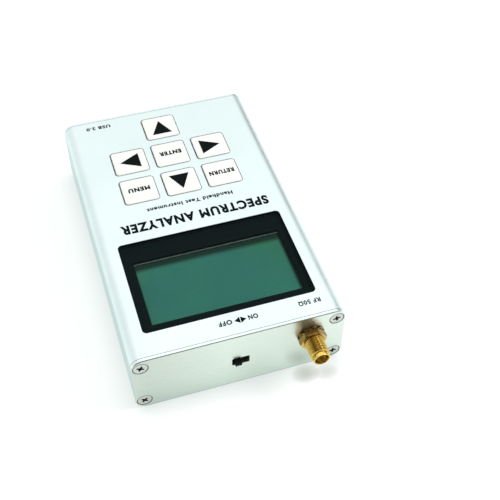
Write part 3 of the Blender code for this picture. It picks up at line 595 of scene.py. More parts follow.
def window_pane():
    """Clear acrylic: seen through, with a thin sheen that grows towards grazing views and that fine scratches
    break up. The sheen is a painted reflection: the pale surroundings' mirror image, given off as light
    evenly so that it has no grain."""
    shader = Shader("window_pane", (0.9, 0.95, 0.95), 0.06)
    scratch = shader.noise(0.25 * MM, 3, (0.15, 2.2, 1))
    sheen = shader.node("ShaderNodeFresnel")
    sheen.inputs["IOR"].default_value = 1.3
    front = shader.maths("SUBTRACT", 1, shader.node("ShaderNodeNewGeometry").outputs["Backfacing"])
    strength = shader.maths("MULTIPLY", sheen.outputs[0], shader.span(scratch, 0.5, 0.8, 0.15, 0.22))
    clear = shader.node("ShaderNodeBsdfTransparent")
    clear.inputs[0].default_value = (0.97, 0.985, 0.98, 1)
    # Painted reflection: the pane glows by emission.
    glow = shader.node("ShaderNodeEmission")
    glow.inputs[0].default_value = (0.85, 0.98, 1.0, 1)
    shader.join(shader.maths("MULTIPLY", strength, front), glow.inputs["Strength"])
    both = shader.node("ShaderNodeAddShader")
    shader.join(clear.outputs[0], both.inputs[0])
    shader.join(glow.outputs[0], both.inputs[1])
    material = shader.finish()
    shader.join(both.outputs[0], shader.tree.nodes["Material Output"].inputs["Surface"])
    return material


def ink():
    """Screen-printed black ink, a little open where it is thin."""
    shader = Shader("ink", (0.004, 0.007, 0.007), 0.6)
    shader.patch((0.02, 0.025, 0.025), shader.noise(0.2 * MM, 3), 0.6, 0.8, 0.5)
    shader.set(Specular_IOR_Level=0.03)
    return shader.weathered(0.1, 2, -0.06, 0.08, 0.15, 0.003)


def circuit_board():
    """Green solder mask over copper, with the tracks showing as paler lines."""
    shader = Shader("circuit_board", (0.010, 0.085, 0.035), 0.32)
    area = shader.span(shader.noise(6 * MM, 1), 0.48, 0.52, 0, 1)
    for axis, pitch in ((0, 1.27 * MM), (1, 1.9 * MM)):
        shader.tint((0.03, 0.19, 0.07), shader.maths("MULTIPLY", shader.stripes(axis, pitch, 0.3), area))
    return shader.weathered(0.4, 2, -0.05, 0.08, 0.3, 0.004)


def foil():
    """The battery's laminated foil, with shallow creases."""
    shader = Shader("foil", (0.62, 0.65, 0.67), 0.3, 1.0)
    crease = shader.noise(3 * MM, 3, (1, 0.6, 1))
    shader.patch((0.5, 0.53, 0.55), crease, 0.4, 0.7, 0.7)
    shader.roughen(crease, -0.06, 0.1)
    shader.bump(crease, 0.15 * MM)
    return shader.finish()


# Painted shadows on the floor under the jack.
JACK_SHADES = (  # centre and reach along x and y, and strength
    ((21.3 * MM, 5.2 * MM), (-60.3 * MM, 3.9 * MM), 0.5),
    ((28.3 * MM, 4.8 * MM), (-61.8 * MM, 3.4 * MM), 0.3),
)


def paper_floor():
    """The matt white sweep that the object lies on, with painted contact shade round the object and painted
    shadows under the jack.
    """
    shader = Shader("paper_floor", (0.50, 0.47, 0.475), 0.9)
    shader.patch((0.49, 0.465, 0.47), shader.noise(60 * MM, 2), 0.35, 0.7)
    # Painted contact shade round the object.
    shader.paint_shade_in_hollows((0.05, 0.09, 0.08), 9 * MM, 0.75)
    shader.bump(shader.noise(0.6 * MM, 2), 0.01 * MM)
    shader.set(Specular_IOR_Level=0.1, Emission_Strength=0.68)
    glow = shader.rgb((0.92, 0.99, 0.965))
    # Painted shadows under the jack, in the floor's colour and in its glow.
    for *axes, strength in JACK_SHADES:
        squares = []
        for axis, (middle, reach) in enumerate(axes):
            offset = shader.maths("ADD", shader.coordinate(axis), -middle)
            offset = shader.maths("DIVIDE", offset, reach)
            squares.append(shader.maths("MULTIPLY", offset, offset))
        shade = shader.span(shader.maths("ADD", *squares), 1, 0, 0, strength)
        glow = shader.mix(glow, shader.rgb((0.35, 0.37, 0.30)), shade)
        shader.tint((0.05, 0.06, 0.04), shade)
    shader.join(glow, shader.surface.inputs["Emission Color"])
    return shader.finish()


SILVER = (0.775, 0.885, 0.88)
MATERIALS = {
    "case": anodised("case_aluminium", SILVER, 0.42, (1, 0.02, 1), 1.0),
    # The plates' faces get a darker, greener copy of the case's silver, while their rims keep the silver:
    # painted shade on the faces.
    "end_plate": anodised("plate_aluminium_shaded", (0.72, 0.805, 0.73), 0.30, (0.02, 1, 1), 1.0, 0.8),
    # Painted shade: a near-black copy of the aluminium on the countersinks' walls, for the shade round each
    # screw head.
    "countersink": anodised("countersink_painted_shade", (0.10, 0.11, 0.10), 0.5, (1, 1, 1), 1.0),
    "plate_edge": anodised("plate_edge_aluminium", SILVER, 0.35, (1, 0.02, 1)),
    "steel": plated("nickel", (0.58, 0.61, 0.58), (0.015, 0.02, 0.018), 0.22, 1.0, 1.2 * MM),
    "cut_edge_and_highlight": cut_edge_and_highlight(),
    "gold": plated("gold_plating", (0.78, 0.55, 0.13), (0.06, 0.025, 0.004), 0.17, 0.95, 0.7 * MM),
    "dull_gold": gold_with_painted_shade(),
    "key": key_plastic(),
    "black_plastic": moulded("black_plastic", (0.014, 0.015, 0.015), 0.5, 0.15, 0.006, 0.05),
    "knob": moulded("knob_plastic", (0.005, 0.007, 0.006), 0.6, 0.15, 0.006, 0.02, 0.08),
    "mask": moulded("black_print", (0.002, 0.007, 0.007), 0.5, 0.2, 0.001, 0.01, 0.03),
    "black_metal": moulded("black_lacquer", (0.002, 0.010, 0.007), 0.4, 0.12, 0.003, 0.0, 0.05),
    "display": liquid_crystal(),
    "clear": window_pane(),
    "light_guide": moulded("light_guide", (0.85, 0.88, 0.80), 0.3),
    "board": circuit_board(),
    "insulator": moulded("white_insulator", (0.86, 0.85, 0.80), 0.4, 0.15, 0.004),
    "battery": foil(),
    "red_lead": moulded("red_lead", (0.55, 0.02, 0.015), 0.35),
    "black_lead": moulded("black_lead", (0.015, 0.015, 0.015), 0.35),
    "lamp": moulded("lamp_lens", (0.75, 0.30, 0.05), 0.15, 0.5, 0.002),
    "ink": ink(),
}


# The case.


def boss_arc(centre_z, top):
    """The boss's outline on the right, from the side wall to the top or the bottom wall."""
    inner_x = HALF_WIDTH - WALL
    side_angle = math.degrees(math.acos((inner_x - SCREW_X) / BOSS_RADIUS))
    wall_angle = math.degrees(math.asin((SCREW_INSET_Z - WALL) / BOSS_RADIUS))
    if top:
        return arc((SCREW_X, centre_z), BOSS_RADIUS, -side_angle, -180 - wall_angle, 24)
    return arc((SCREW_X, centre_z), BOSS_RADIUS, 180 + wall_angle, side_angle, 24)


def top_shell_outline():
    """The top shell's section, with its tongue, the board's rails and the screw bosses."""
    inner = HALF_WIDTH - WALL
    tongue = HALF_WIDTH - WALL / 2 - SEAM / 2
    foot = TOP_LOW.z
    seam = foot + TONGUE_HEIGHT
    outer = [(HALF_WIDTH - SPLIT_CHAMFER, seam), (HALF_WIDTH, seam + SPLIT_CHAMFER)]
    outer += arc((HALF_WIDTH - CORNER_RADIUS, HEIGHT - CORNER_RADIUS), CORNER_RADIUS, 0, 90, 24)
    cavity = [(tongue, seam), (tongue, foot), (inner, foot)]
    for low in (BOARD_LOW.z - RAIL_CLEARANCE - RAIL_THICKNESS, BOARD_HIGH.z + RAIL_CLEARANCE):
        high = low + RAIL_THICKNESS
        cavity += [(inner, low), (inner - RAIL_DEPTH, low), (inner - RAIL_DEPTH, high), (inner, high)]
    cavity += boss_arc(HEIGHT - SCREW_INSET_Z, top=True)
    return mirrored(outer) + mirrored(cavity)[::-1]


def bottom_shell_outline():
    inner = HALF_WIDTH - WALL
    groove = HALF_WIDTH - WALL / 2 + SEAM / 2
    outer = arc((HALF_WIDTH - CORNER_RADIUS, CORNER_RADIUS), CORNER_RADIUS, -90, 0, 24)
    outer += [(HALF_WIDTH, SEAM_Z - SPLIT_CHAMFER), (HALF_WIDTH - SPLIT_CHAMFER, SEAM_Z)]
    cavity = boss_arc(SCREW_INSET_Z, top=False) + [
        (inner, SEAM_Z - TONGUE_HEIGHT - SEAM),
        (groove, SEAM_Z - TONGUE_HEIGHT - SEAM),
        (groove, SEAM_Z),
    ]
    return mirrored(outer + cavity[::-1])


def box_outline(node, corner, inset=0, shift=(0, 0)):
    """The outline of a node's box from above, inset and then moved by a shift."""
    low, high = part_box(node)
    centre = [middle + offset for middle, offset in zip(centre_of(node), shift)]
    return rounded_rectangle(high.x - low.x - 2 * inset, high.y - low.y - 2 * inset, corner, centre)


def key_outline(name, shift=(0, 0)):
    return box_outline(f"key_{name}", KEY_CORNER, KEY_FLANGE, shift)


def window_outline():
    return box_outline("display_window", WINDOW_CORNER - WINDOW_CLEARANCE)


def extrusion(outline, screw_z):
    """A shell's section, with its two screw holes, from end to end."""
    holes = [circle(PILOT_RADIUS, (x, screw_z), 24) for x in (SCREW_X, -SCREW_X)]
    return placed(prism([outline, *holes], -SHELL_HALF_LENGTH, SHELL_HALF_LENGTH), FACING_FRONT)


def make_shells():
    edge_break = 0.08 * MM
    openings = [(window_outline(), WINDOW_CLEARANCE, edge_break / 2)]
    openings += [(key_outline(name, KEY_OPENING_SHIFT), KEY_GAP, edge_break) for name in KEYS]
    cutters = [
        flared_cutter(lambda grow: outline(gap + grow), HEIGHT - 2 * WALL, HEIGHT, flare)
        for outline, gap, flare in openings
    ]
    columns, rows = (sorted({round(centre_of(f"key_{name}")[axis], 5) for name in KEYS}) for axis in (0, 1))
    half_pitch = (columns[-1] - columns[0]) / 4
    sides = [column + side * half_pitch for column in (columns[0], columns[-1]) for side in (-1, 1)]
    top = extrusion(top_shell_outline(), HEIGHT - SCREW_INSET_Z)
    top = sliced(top, 1, [rows[0] - half_pitch, *(row + half_pitch for row in rows)])
    top = combined(sliced(top, 0, sides), ("DIFFERENCE", merged(*cutters)))
    piece("top_extrusion", top, "case", ["top_shell"])
    piece("bottom_extrusion", extrusion(bottom_shell_outline(), SCREW_INSET_Z), "case", ["bottom_shell"])


# The end plates, each worked out with its outer face at z = 0 and x and y along the face.

HEAD_RADIUS = 2.3 * MM
SHANK_RADIUS = 1.25 * MM
HEAD_DEPTH = 1.05 * MM
HEAD_CLEARANCE = 0.15 * MM
SCREW_LENGTH = 8 * MM
RECESS_DEPTH = 0.8 * MM
RECESS_REACH = 1.3 * MM
RECESS_ROOT = 0.42 * MM
RECESS_TIP = 0.26 * MM
SCREW_PLACES = [(x, z) for z in (HEIGHT - SCREW_INSET_Z, SCREW_INSET_Z) for x in (-SCREW_X, SCREW_X)]


def countersink_cutter():
    head = HEAD_RADIUS + HEAD_CLEARANCE
    shank = SHANK_RADIUS + HEAD_CLEARANCE
    return turned([
        (head + 0.1 * MM, PLATE_THICKNESS),
        (head + 0.1 * MM, 0),
        (head, -0.1 * MM),
        (shank, -HEAD_DEPTH),
        (shank, -2 * PLATE_THICKNESS),
    ], 48)


def end_plate(openings):
    """A plate whose outer edge has a fine flat chamfer, and which all but touches the shells."""
    outline = rounded_rectangle(2 * HALF_WIDTH, HEIGHT, CORNER_RADIUS, (0, HEIGHT / 2), 24)
    chamfer = 0.2 * MM
    back = -PLATE_THICKNESS - 0.6 * SEAM
    plate = stack([
        (outline(-0.1 * MM), back),
        (outline(0), back + 0.1 * MM),
        (outline(0), -chamfer),
        (outline(-chamfer), 0),
    ])
    sinks = [placed(countersink_cutter(), Matrix.Translation((x, z, 0))) for x, z in SCREW_PLACES]
    cutters = [flared_cutter(opening, -2 * PLATE_THICKNESS, 0, 0.06 * MM) for opening in openings]
    return combined(plate, ("DIFFERENCE", merged(*sinks, *cutters)))


def is_outer_edge(face):
    """True on the rim of the plate."""
    x = max(0, abs(face.center.x) - HALF_WIDTH + CORNER_RADIUS)
    z = max(0, abs(face.center.z - HEIGHT / 2) - HEIGHT / 2 + CORNER_RADIUS)
    return abs(face.normal.y) < 0.1 and math.hypot(x, z) > CORNER_RADIUS - 0.3 * MM


def is_countersink(face):
    x, _, z = face.center
    near = any(math.hypot(x - place[0], z - place[1]) < 1.2 * HEAD_RADIUS for place in SCREW_PLACES)
    return abs(face.normal.y) < 0.9 and near


def screw_mesh():
    """A countersunk cross-recess screw, whose head's face is at z = 0."""
    face = -0.05 * MM
    crown = 0.02 * MM
    profile = [
        (AXIS, face + crown),
        (0.5 * HEAD_RADIUS, face + 0.9 * crown),
        (0.85 * HEAD_RADIUS, face + 0.3 * crown),
        (HEAD_RADIUS - 0.06 * MM, face),
        (HEAD_RADIUS, face - 0.05 * MM),
        (HEAD_RADIUS, face - 0.12 * MM),
        (SHANK_RADIUS, -HEAD_DEPTH),
        (SHANK_RADIUS, SHANK_RADIUS - SCREW_LENGTH),
        (AXIS, -SCREW_LENGTH),
    ]

    def cross(scale):
        reach = RECESS_REACH * scale
        points = [(RECESS_ROOT, -RECESS_ROOT), (reach, -RECESS_TIP), (reach, RECESS_TIP)]
        for _ in range(3):
            points += [(-y, x) for x, y in points[-3:]]
        return points

    recess = stack([(cross(0.8), -RECESS_DEPTH), (cross(1), 0), (cross(1), RECESS_DEPTH)])
    return combined(turned(profile, 48), ("DIFFERENCE", recess))


def make_ends():
    slot_outline = rounded_rectangle(*SWITCH_SLOT, 0.45 * MM, (0, centre_of("power_switch_knob")[2]), 6)
    jack_x, _, jack_z = centre_of("jack_insulator")
    port_x, _, port_z = centre_of("port_shell")
    port_outline = rounded_rectangle(*PORT_OPENING, 0.8 * MM, (-port_x, port_z))
    lamp_x = centre_of("charge_lamp")[0]
    front = Matrix.Translation((0, FRONT_Y, 0)) @ FACING_FRONT
    back = Matrix.Translation((0, BACK_Y, 0)) @ FACING_BACK
    screw = screw_mesh()
    for label, place, openings in (
        ("connector", front, [slot_outline, lambda grow: circle(JACK_HOLE + grow, (jack_x, jack_z))]),
        ("port", back, [port_outline, lambda grow: circle(LAMP_HOLE + grow, (-lamp_x, port_z), 32)]),
    ):
        plate = placed(end_plate(openings), place)
        piece(f"{label}_end_plate", plate, "end_plate", [f"{label}_plate"])
        # The rim keeps the case's silver beside the face's painted shade, and the countersinks get painted
        # shade.
        paint(plate, "plate_edge", is_outer_edge)
        paint(plate, "countersink", is_countersink)
        for number, (x, z) in enumerate(SCREW_PLACES, 1):
            turn = Matrix.Rotation(math.radians(25 + 38 * number), 4, "Z")
            mesh = placed(screw, place @ Matrix.Translation((x, z, 0)) @ turn)
            name = f"{label}_plate_screw_{number}"
            piece(f"{name}_finished", mesh, "steel", [name])


# The display.


def make_window():
    low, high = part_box("display_window")
    outline = window_outline()
    spare = 0.07 * MM
    pane = stack(rounded_layers(lambda grow: outline(spare + grow), low.z, high.z, 0.08 * MM))
    piece("window_pane", pane, "clear", ["display_window"]).visible_shadow = False
    paint(pane, "mask", lambda face: abs(face.normal.z) < 0.3)
    low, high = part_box("display_mask")
    mask = prism([outline(0), rounded_rectangle(*MASK_OPENING, 0.5 * MM, VIEW_CENTRE)(0)], low.z, high.z)
    piece("printed_mask", mask, "mask", ["display_mask"])


def make_bezel():
    low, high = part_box("display_bezel")
    outline = box_outline("display_bezel", 0.8 * MM)
    view = rounded_rectangle(*VIEW_SIZE, 0.3 * MM, VIEW_CENTRE, 4)
    sheet = 0.5 * MM
    bezel = stack(rounded_layers(outline, low.z, high.z, 0.3 * MM))
    room = stack([(outline(-sheet), low.z - sheet), (outline(-sheet), high.z - sheet)])
    cut = stack([(view(0), low.z), (view(0), high.z + sheet)])
    bezel = combined(bezel, ("DIFFERENCE", room), ("DIFFERENCE", cut))

    # Only the cut wall that faces -Y is painted pale, as a painted highlight on the bare edge; the other cut
    # walls stay black.
    def is_cut_edge(face):
        offsets = [abs(face.center[axis] - VIEW_CENTRE[axis]) - VIEW_SIZE[axis] / 2 for axis in (0, 1)]
        return max(offsets) < sheet and face.normal.y < -0.5

    piece("module_bezel", bezel, "black_metal", ["display_bezel"])
    paint(bezel, "cut_edge_and_highlight", is_cut_edge)


# Lettering: thin prisms of ink, whose middle height is a hair above the surface.

INK = 0.012 * MM
INK_LIFT = 0.008 * MM
KEY_SINK = 0.015 * MM  # how far the visible caps stop below the solids, so that their ink stays inside
KEY_WEIGHT = 0.25
KEY_WORD_HEIGHT = 2.1
CASE_WORDS = (  # name, words, size and centre in mm, and weight
    ("title", "SPECTRUM ANALYZER", (52.6, 4.3), (0.5, -2.9), 0.2),
    ("subtitle", "Handheld Test Instrument", (31, 1.75), (0.45, 4.1), 0.18),
    ("usb", "USB 2.0", (9.1, 1.75), (-22.45, 51.7), 0.18),
    ("on", "ON", (3.2, 1.85), (5.9, -50.35), 0.18),
    ("off", "OFF", (4.4, 1.85), (-3.2, -50.35), 0.18),
    ("input", "RF 50Ω", (7.4, 1.9), (24.8, -50.2), 0.15),
)
CASE_ARROWS = (("on_arrow", 2.75, 0), ("off_arrow", 0.65, 180))  # name, place along x in mm, and angle
CASE_ARROW_Y = -50.4
CASE_ARROW_SIZE = (2.4, 1.85)
KEY_ARROW_SIZE = (7.4, 7.3)
KEY_WORDS = {"menu": ("MENU", 7.8), "enter": ("ENTER", 8.3), "return": ("RETURN", 9.3)}
KEY_ARROWS = {"up": -90, "down": 90, "right": 180, "left": 0}


def print_on(name, mesh, place, angle, body="case"):
    """Ink on a surface, turned by an angle in degrees. place is in metres, and lies on the surface."""
    lift = Vector((0, 0, INK_LIFT))
    mesh.transform(Matrix.Translation(Vector(place) + lift) @ Matrix.Rotation(math.radians(angle), 4, "Z"))
    piece(f"legend_{name}", mesh, "ink", body=body)


def lettering(words, size, weight):
    """Plain letters about the origin, fitted to a size (width, height). All of it is in mm."""
    curve = bpy.data.curves.new("lettering", "FONT")
    curve.body = words
    curve.size = 4 * MM
    curve.extrude = INK
    curve.bevel_depth = weight * MM
    curve.bevel_resolution = 0
    curve.resolution_u = 6
    curve.space_character = 1 + 0.9 * weight
    mesh = as_mesh(working_object("lettering", curve))
    spans = [(min(values), max(values)) for values in zip(*(vertex.co for vertex in mesh.vertices))]
    middle = Vector([(low + high) / 2 for low, high in spans])
    wanted = (size[0] * MM, size[1] * MM, INK)
    scale = [new / (high - low) for new, (low, high) in zip(wanted, spans)]
    mesh.transform(Matrix.Diagonal((*scale, 1)) @ Matrix.Translation(-middle))
    return mesh


def arrowhead(size):
    """A solid triangle about the origin whose tip points along +X. size is its base and its reach in mm."""
    base, reach = (value * MM for value in size)
    corners = [(reach / 2, 0), (-reach / 2, base / 2), (-reach / 2, -base / 2)]
    return prism([corners], -INK / 2, INK / 2)


def make_case_lettering():
    for name, words, size, centre, weight in CASE_WORDS:
        place = (centre[0] * MM, centre[1] * MM, HEIGHT)
        print_on(name, lettering(words, size, weight), place, 180)
    for name, x, angle in CASE_ARROWS:
        place = (x * MM, CASE_ARROW_Y * MM, HEIGHT)
        print_on(name, arrowhead(CASE_ARROW_SIZE), place, angle)


# The keys.


def key_mesh(name):
    low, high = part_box(f"key_{name}")
    outline = key_outline(name)
    flange_top = HEIGHT - WALL - SEAM
    flange_bottom = flange_top - KEY_FLANGE_THICKNESS
    layers = [(outline(KEY_FLANGE), flange_bottom), (outline(KEY_FLANGE), flange_top)]
    layers += rounded_layers(outline, flange_top, high.z - KEY_SINK, 0.32 * MM, 5)
    stem_outline = circle(KEY_STEM_RADIUS, centre_of(f"key_{name}"), 32)
    stem = stack([(stem_outline, low.z), (stem_outline, flange_bottom + 0.5 * MM)])
    return combined(stack(layers), ("UNION", stem))


def make_keys():
    for name in KEYS:
        node, body = f"key_{name}", f"{name}_key"
        x, y, _ = centre_of(node)
        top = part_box(node)[1].z - KEY_SINK
        piece(f"key_cap_{name}", key_mesh(name), "key", [node], body)
        if name in KEY_WORDS:
            words, width = KEY_WORDS[name]
            mesh = lettering(words, (width, KEY_WORD_HEIGHT), KEY_WEIGHT)
            print_on(name, mesh, (x, y + 0.4 * MM, top), 180, body)
        else:
            print_on(name, arrowhead(KEY_ARROW_SIZE), (x, y, top), KEY_ARROWS[name], body)


# The coaxial input, worked out about an axis that faces the front.

THREAD_PITCH = 25.4 / 36 * MM
THREAD_RADIUS = 3.15 * MM
THREAD_DEPTH = 0.42 * MM
FADE_LENGTH = 0.6 * THREAD_PITCH
JACK_BORE = 2.3 * MM
TIP_RADIUS = 2.75 * MM
TIP_LIP = 0.1 * MM
NECK_RADIUS = 2.6 * MM
NECK_STEP = 0.05 * MM
SHOULDER_HALF = 4 * MM
SHOULDER_DEPTH = 2 * MM
LEG = 1.2 * MM
INSULATOR_RADIUS = 2.15 * MM
PIN_HOLE_RADIUS = 0.75 * MM
CONTACT_RADIUS = 0.65 * MM
SOCKET_RADIUS = 0.42 * MM
PIN_RADIUS = 0.35 * MM
CONTACT_EDGE = 0.06 * MM
SOCKET_DEPTH = 2 * MM
SLOT_DEPTH = 1.4 * MM
SLOT_HALF = 0.07 * MM
NUT_CORNER = 8 * MM / math.sqrt(3)
NUT_CHAMFER = 0.42 * MM
NUT_TURN = 10
WASHER_TEETH = 10
WASHER_TIP = 4.5 * MM
WASHER_ROOT = 4 * MM


def thread_rings(low, high, steps=64, per_turn=10):
    """Rings down a helical thread from high to low, which fades in and out at its ends."""
    threads = []
    count = round((high - low) / THREAD_PITCH * per_turn)
    for level in range(count + 1):
        z = high + (low - high) * level / count
        fade = max(0, min(1, (high - z) / FADE_LENGTH, (z - low) / FADE_LENGTH))
        ring = []
        for step, (x, y) in enumerate(circle(1, points=steps)):
            phase = (z / THREAD_PITCH - step / steps) % 1
            groove = min(1, max(0, 1.25 * (1 - abs(2 * phase - 1)) - 0.12))
            radius = THREAD_RADIUS - THREAD_DEPTH * groove * fade
            ring.append((radius * x, radius * y, z))
        threads.append(ring)
    return threads


def jack_body_mesh(inside, axis_z):
    """The barrel, its square shoulder behind the plate's inside, and its legs astride the board's edge."""
    leg_back, tip = depths("coaxial_jack")
    neck_top = tip - 1.1 * MM
    thread_top = tip - 1.6 * MM
    shoulder_back = inside - SHOULDER_DEPTH
    barrel_back = shoulder_back - SEAM
    neck = [
        (TIP_RADIUS - TIP_LIP, tip),
        (TIP_RADIUS - 0.3 * TIP_LIP, tip - 0.3 * TIP_LIP),
        (TIP_RADIUS, tip - TIP_LIP),
        (TIP_RADIUS, neck_top + NECK_STEP),
        (TIP_RADIUS - NECK_STEP, neck_top),
        (NECK_RADIUS, neck_top - NECK_STEP),
        (NECK_RADIUS, thread_top + 0.25 * MM),
    ]
    thread = thread_rings(inside - 0.3 * MM, thread_top)
    barrel = ring_mesh([*rings(neck), *thread, *rings([(THREAD_RADIUS, barrel_back)])])
    half = SHOULDER_HALF
    steps = [("UNION", bevelled(box_mesh((-half, -half, shoulder_back), (half, half, inside)), 0.12 * MM))]
    for x in (SEAM - half, half - SEAM - LEG):
        for y in (BOARD_HIGH.z + SEAM - axis_z, BOARD_LOW.z - SEAM - axis_z - LEG):
            bar = box_mesh((x, y, leg_back), (x + LEG, y + LEG, shoulder_back + 0.3 * MM))
            steps.append(("UNION", bar))
    bore = turned([
        (JACK_BORE + 2 * TIP_LIP, tip + TIP_LIP),
        (JACK_BORE, tip - TIP_LIP),
        (JACK_BORE, barrel_back - TIP_LIP),
    ])
    return combined(barrel, *steps, ("DIFFERENCE", bore))


def insulator_mesh(back):
    face = depths("jack_insulator")[1]
    return turned([
        (PIN_HOLE_RADIUS + 0.1 * MM, face - 0.02 * MM),
        (INSULATOR_RADIUS - 0.1 * MM, face),
        (INSULATOR_RADIUS, face - 0.1 * MM),
        (INSULATOR_RADIUS, back),
        (PIN_HOLE_RADIUS, back),
        (PIN_HOLE_RADIUS, face - 0.12 * MM),
    ], 48, closed=True)


def contact_mesh(shoulder_back):
    """The centre contact: a socket slit into four fingers in front, and a pin behind."""
    back, tip = depths("jack_contact")
    contact = turned([
        (AXIS, tip - SOCKET_DEPTH),
        (SOCKET_RADIUS, tip - SOCKET_DEPTH),
        (SOCKET_RADIUS, tip - 0.08 * MM),
        (SOCKET_RADIUS + CONTACT_EDGE, tip),
        (CONTACT_RADIUS - CONTACT_EDGE, tip),
        (CONTACT_RADIUS, tip - 0.08 * MM),
        (CONTACT_RADIUS, shoulder_back),
        (PIN_RADIUS, shoulder_back),
        (PIN_RADIUS, back),
        (AXIS, back),
    ], 32)
    for x, y in ((MM, SLOT_HALF), (SLOT_HALF, MM)):
        contact = combined(contact, ("DIFFERENCE", box_mesh((-x, -y, tip - SLOT_DEPTH), (x, y, tip + MM))))
    return contact


def nut_mesh():
    back, front = depths("jack_nut")
    hexagon = arc((0, 0), NUT_CORNER, NUT_TURN, NUT_TURN + 360, 6)[:-1]
    hexagon = prism([hexagon, circle(THREAD_RADIUS + 0.05 * MM)], back, front)
    chamfer = turned([
        (0.92 * NUT_CORNER, front + 0.02 * MM),
        (NUT_CORNER + 0.05 * MM, front - NUT_CHAMFER),
        (NUT_CORNER + 0.05 * MM, back + NUT_CHAMFER),
        (0.92 * NUT_CORNER, back - 0.02 * MM),
    ])
    return combined(hexagon, ("INTERSECT", chamfer))


def washer_mesh():
    outline = []
    share = 180 / WASHER_TEETH
    for tooth in range(WASHER_TEETH):
        start = 2 * share * tooth
        outline += arc((0, 0), WASHER_TIP, start, start + share, 4)
        outline += arc((0, 0), WASHER_ROOT, start + share + 3, start + 2 * share - 3, 4)
    hole = circle(THREAD_RADIUS + 0.15 * MM)
    return bevelled(prism([outline, hole], *depths("jack_lock_washer")), 0.08 * MM)


def make_jack():
    x, _, z = centre_of("jack_insulator")
    place = Matrix.Translation((x, 0, z)) @ FACING_FRONT
    inside = -FRONT_Y - PLATE_THICKNESS - SEAM
    shoulder_back = inside - SHOULDER_DEPTH
    for name, mesh, finish, node in (
        ("body", jack_body_mesh(inside, z), "gold", "coaxial_jack"),
        ("dielectric", insulator_mesh(shoulder_back), "insulator", "jack_insulator"),
        ("socket_contact", contact_mesh(shoulder_back), "gold", "jack_contact"),
        ("hex_nut", nut_mesh(), "dull_gold", "jack_nut"),
        ("toothed_washer", washer_mesh(), "dull_gold", "jack_lock_washer"),
    ):
        piece(f"jack_{name}", placed(mesh, place), finish, [node])


# The power switch's knob, with three ridges across its tip.

RIDGES = 3
RIDGE_HEIGHT = 0.28 * MM
STEM_HALF_WIDTH = 1.15 * MM
STEM_HALF_HEIGHT = 0.9 * MM


def make_switch():
    low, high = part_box("power_switch_knob")
    middle_x, _, middle_z = centre_of("power_switch_knob")
    half = STEM_HALF_WIDTH
    wide = 2 * half / RIDGES
    groove_y = low.y + RIDGE_HEIGHT
    slider_y = high.y - 1 * MM
    outline = [(half, slider_y + 0.5 * MM), (-half, slider_y + 0.5 * MM), (-half, groove_y)]
    for index in range(RIDGES):
        left = index * wide - half
        for share, y in ((0.12, low.y), (0.62, low.y), (0.85, groove_y)):
            outline.append((left + share * wide, y))
    outline.append((half, groove_y))
    outline = [(x, -y) for x, y in reversed(outline)]
    stem = bevelled(prism([outline], -STEM_HALF_HEIGHT, STEM_HALF_HEIGHT), 0.05 * MM)
    stem.transform(Matrix.Translation((middle_x, 0, middle_z)) @ Matrix.Diagonal((1, -1, 1, 1)))
    stem.flip_normals()
    slider = bevelled(box_mesh((low.x, slider_y, low.z), (high.x, high.y, high.z)), 0.1 * MM)
    knob = combined(slider, ("UNION", stem))
    piece("power_switch_thumb_knob", knob, "knob", ["power_switch_knob"], "power_switch_slider")


# The port.

PORT_SKIRT = 1.1 * MM
PORT_SHEET = 0.4 * MM
PORT_CORNER = 0.35 * MM


def make_port():
    low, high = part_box("port_shell")
    centre_x, _, centre_z = centre_of("port_shell")
    place = Matrix.Translation((centre_x, 0, centre_z)) @ FACING_BACK
    half_w, half_h = (high.x - low.x) / 2, (high.z - low.z) / 2

    def outline(grow):
        right, top = half_w + grow - PORT_CORNER, half_h + grow - PORT_CORNER
        points = arc((right - PORT_SKIRT, -top), PORT_CORNER, 270, 315, 4)
        points += arc((right, PORT_SKIRT - top), PORT_CORNER, 315, 360, 4)
        return mirrored(points + arc((right, top), PORT_CORNER, 0, 90, 4))

    shell = stack(rounded_layers(outline, low.y, high.y, 0.08 * MM))
    room = flared_cutter(lambda grow: outline(grow - PORT_SHEET), low.y + PORT_SHEET, high.y, 0.06 * MM)
    shell = combined(shell, ("DIFFERENCE", room))
    piece("port_socket_shell", placed(shell, place), "steel", ["port_shell"])


# The studio.

CAMERA_AZIMUTH = -18.70
CAMERA_ELEVATION = 48.85
CAMERA_ROLL = 1.01
CAMERA_DISTANCE = 0.31221
CAMERA_TARGET = Vector((17.10, -13.04, 12.0)) * MM
CAMERA_LENS = 63.62
SOFT_BOX_PLACE = Vector((0.85, -0.15, 0.75))
SOFT_BOX_SIZE = 0.4
SOFT_BOX_POWER = 5.5
TENT_STRENGTH = 0.92
ZENITH_STRENGTH = 1.55
DIM_ZONES = (  # azimuth from +X, elevation, core and edge radius in degrees, and strength
    (-90, 42, 20, 58, 0.12),
    (-138, 21, 16, 34, 0.03),
    (38, 0, 14, 34, 0.15),
)


def direction(azimuth, elevation):
    """A unit vector from an azimuth from +X and an elevation, in degrees."""
    azimuth, elevation = math.radians(azimuth), math.radians(elevation)
    level = math.cos(elevation)
    return Vector((math.cos(azimuth) * level, math.sin(azimuth) * level, math.sin(elevation)))


def make_camera():
    """The camera at the photograph's angle. Its azimuth is from -Y."""
    back = direction(CAMERA_AZIMUTH - 90, CAMERA_ELEVATION)
    right = Vector((0, 0, 1)).cross(back).normalized()
    turn = Matrix((right, back.cross(right), back)).transposed().to_4x4()
    camera = bpy.data.cameras.new("camera")
    camera.lens = CAMERA_LENS
    camera.clip_start = 0.01
    obj = working_object("camera", camera)
    roll = Matrix.Rotation(math.radians(CAMERA_ROLL), 4, "Z")
    obj.matrix_world = Matrix.Translation(CAMERA_TARGET + CAMERA_DISTANCE * back) @ turn @ roll
    bpy.context.scene.camera = obj


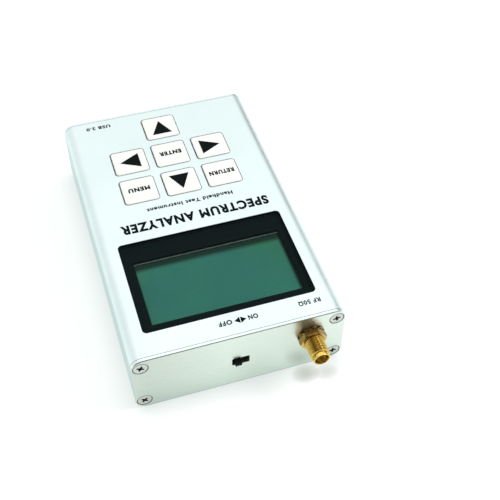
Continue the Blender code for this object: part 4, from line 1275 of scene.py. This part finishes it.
def make_soft_box():
    """A square soft box on the right that faces the object."""
    light = bpy.data.lights.new("right_box", "AREA")
    light.shape = "SQUARE"
    light.size = SOFT_BOX_SIZE
    light.energy = SOFT_BOX_POWER
    obj = working_object("right_box", light)
    obj.location = SOFT_BOX_PLACE
    obj.rotation_euler = (-SOFT_BOX_PLACE).to_track_quat("-Z", "Y").to_euler()


def make_sky():
    """A white tent that brightens overhead, with the photographer's dim side in front of the object and a
    doorway low on the far right. The camera itself sees plain white."""
    world = bpy.data.worlds.new("tent")
    bpy.context.scene.world = world
    world.use_nodes = True
    new, join = world.node_tree.nodes.new, world.node_tree.links.new
    place = new("ShaderNodeTexCoord").outputs["Generated"]

    def smooth_step(towards, low, high, to_low, to_high):
        """A signal from to_low to to_high, as the view's cosine with a direction goes from low to high."""
        dot = new("ShaderNodeVectorMath")
        dot.operation = "DOT_PRODUCT"
        join(place, dot.inputs[0])
        dot.inputs[1].default_value = towards
        node = new("ShaderNodeMapRange")
        node.interpolation_type = "SMOOTHSTEP"
        join(dot.outputs["Value"], node.inputs["Value"])
        return set_span(node, low, high, to_low, to_high)

    strength = smooth_step((0, 0, 1), 0.55, 1.0, TENT_STRENGTH, ZENITH_STRENGTH)
    for azimuth, elevation, core, edge, dim in DIM_ZONES:
        low, high = math.cos(math.radians(edge)), math.cos(math.radians(core))
        product = new("ShaderNodeMath")
        product.operation = "MULTIPLY"
        join(strength, product.inputs[0])
        join(smooth_step(direction(azimuth, elevation), low, high, 1, dim), product.inputs[1])
        strength = product.outputs[0]
    seen = new("ShaderNodeMix")
    join(new("ShaderNodeLightPath").outputs["Is Camera Ray"], seen.inputs["Factor"])
    join(strength, seen.inputs["A"])
    seen.inputs["B"].default_value = 1
    background = world.node_tree.nodes["Background"]
    background.inputs["Color"].default_value = (1, 1, 1, 1)
    join(seen.outputs["Result"], background.inputs["Strength"])


def make_studio():
    floor = working_object("floor", box_mesh((-3, -3, -0.01), (3, 3, 0)))
    floor.data.materials.append(paper_floor())
    make_sky()
    make_soft_box()
    make_camera()
    bpy.context.scene.view_settings.view_transform = "Standard"


def finish_cad_nodes():
    """Gives each CAD node that stays in place its finish."""
    slots = {row["node"]: row["material_slot"] for row in frame["record"]["subparts"]}
    for name, obj in frame["nodes"].items():
        if not obj.hide_render:
            obj.data.materials.clear()
            obj.data.materials.append(MATERIALS[slots[name]])


def build():
    make_shells()
    make_ends()
    make_window()
    make_bezel()
    make_case_lettering()
    make_keys()
    make_jack()
    make_switch()
    make_port()
    finish_cad_nodes()
    make_studio()


build()
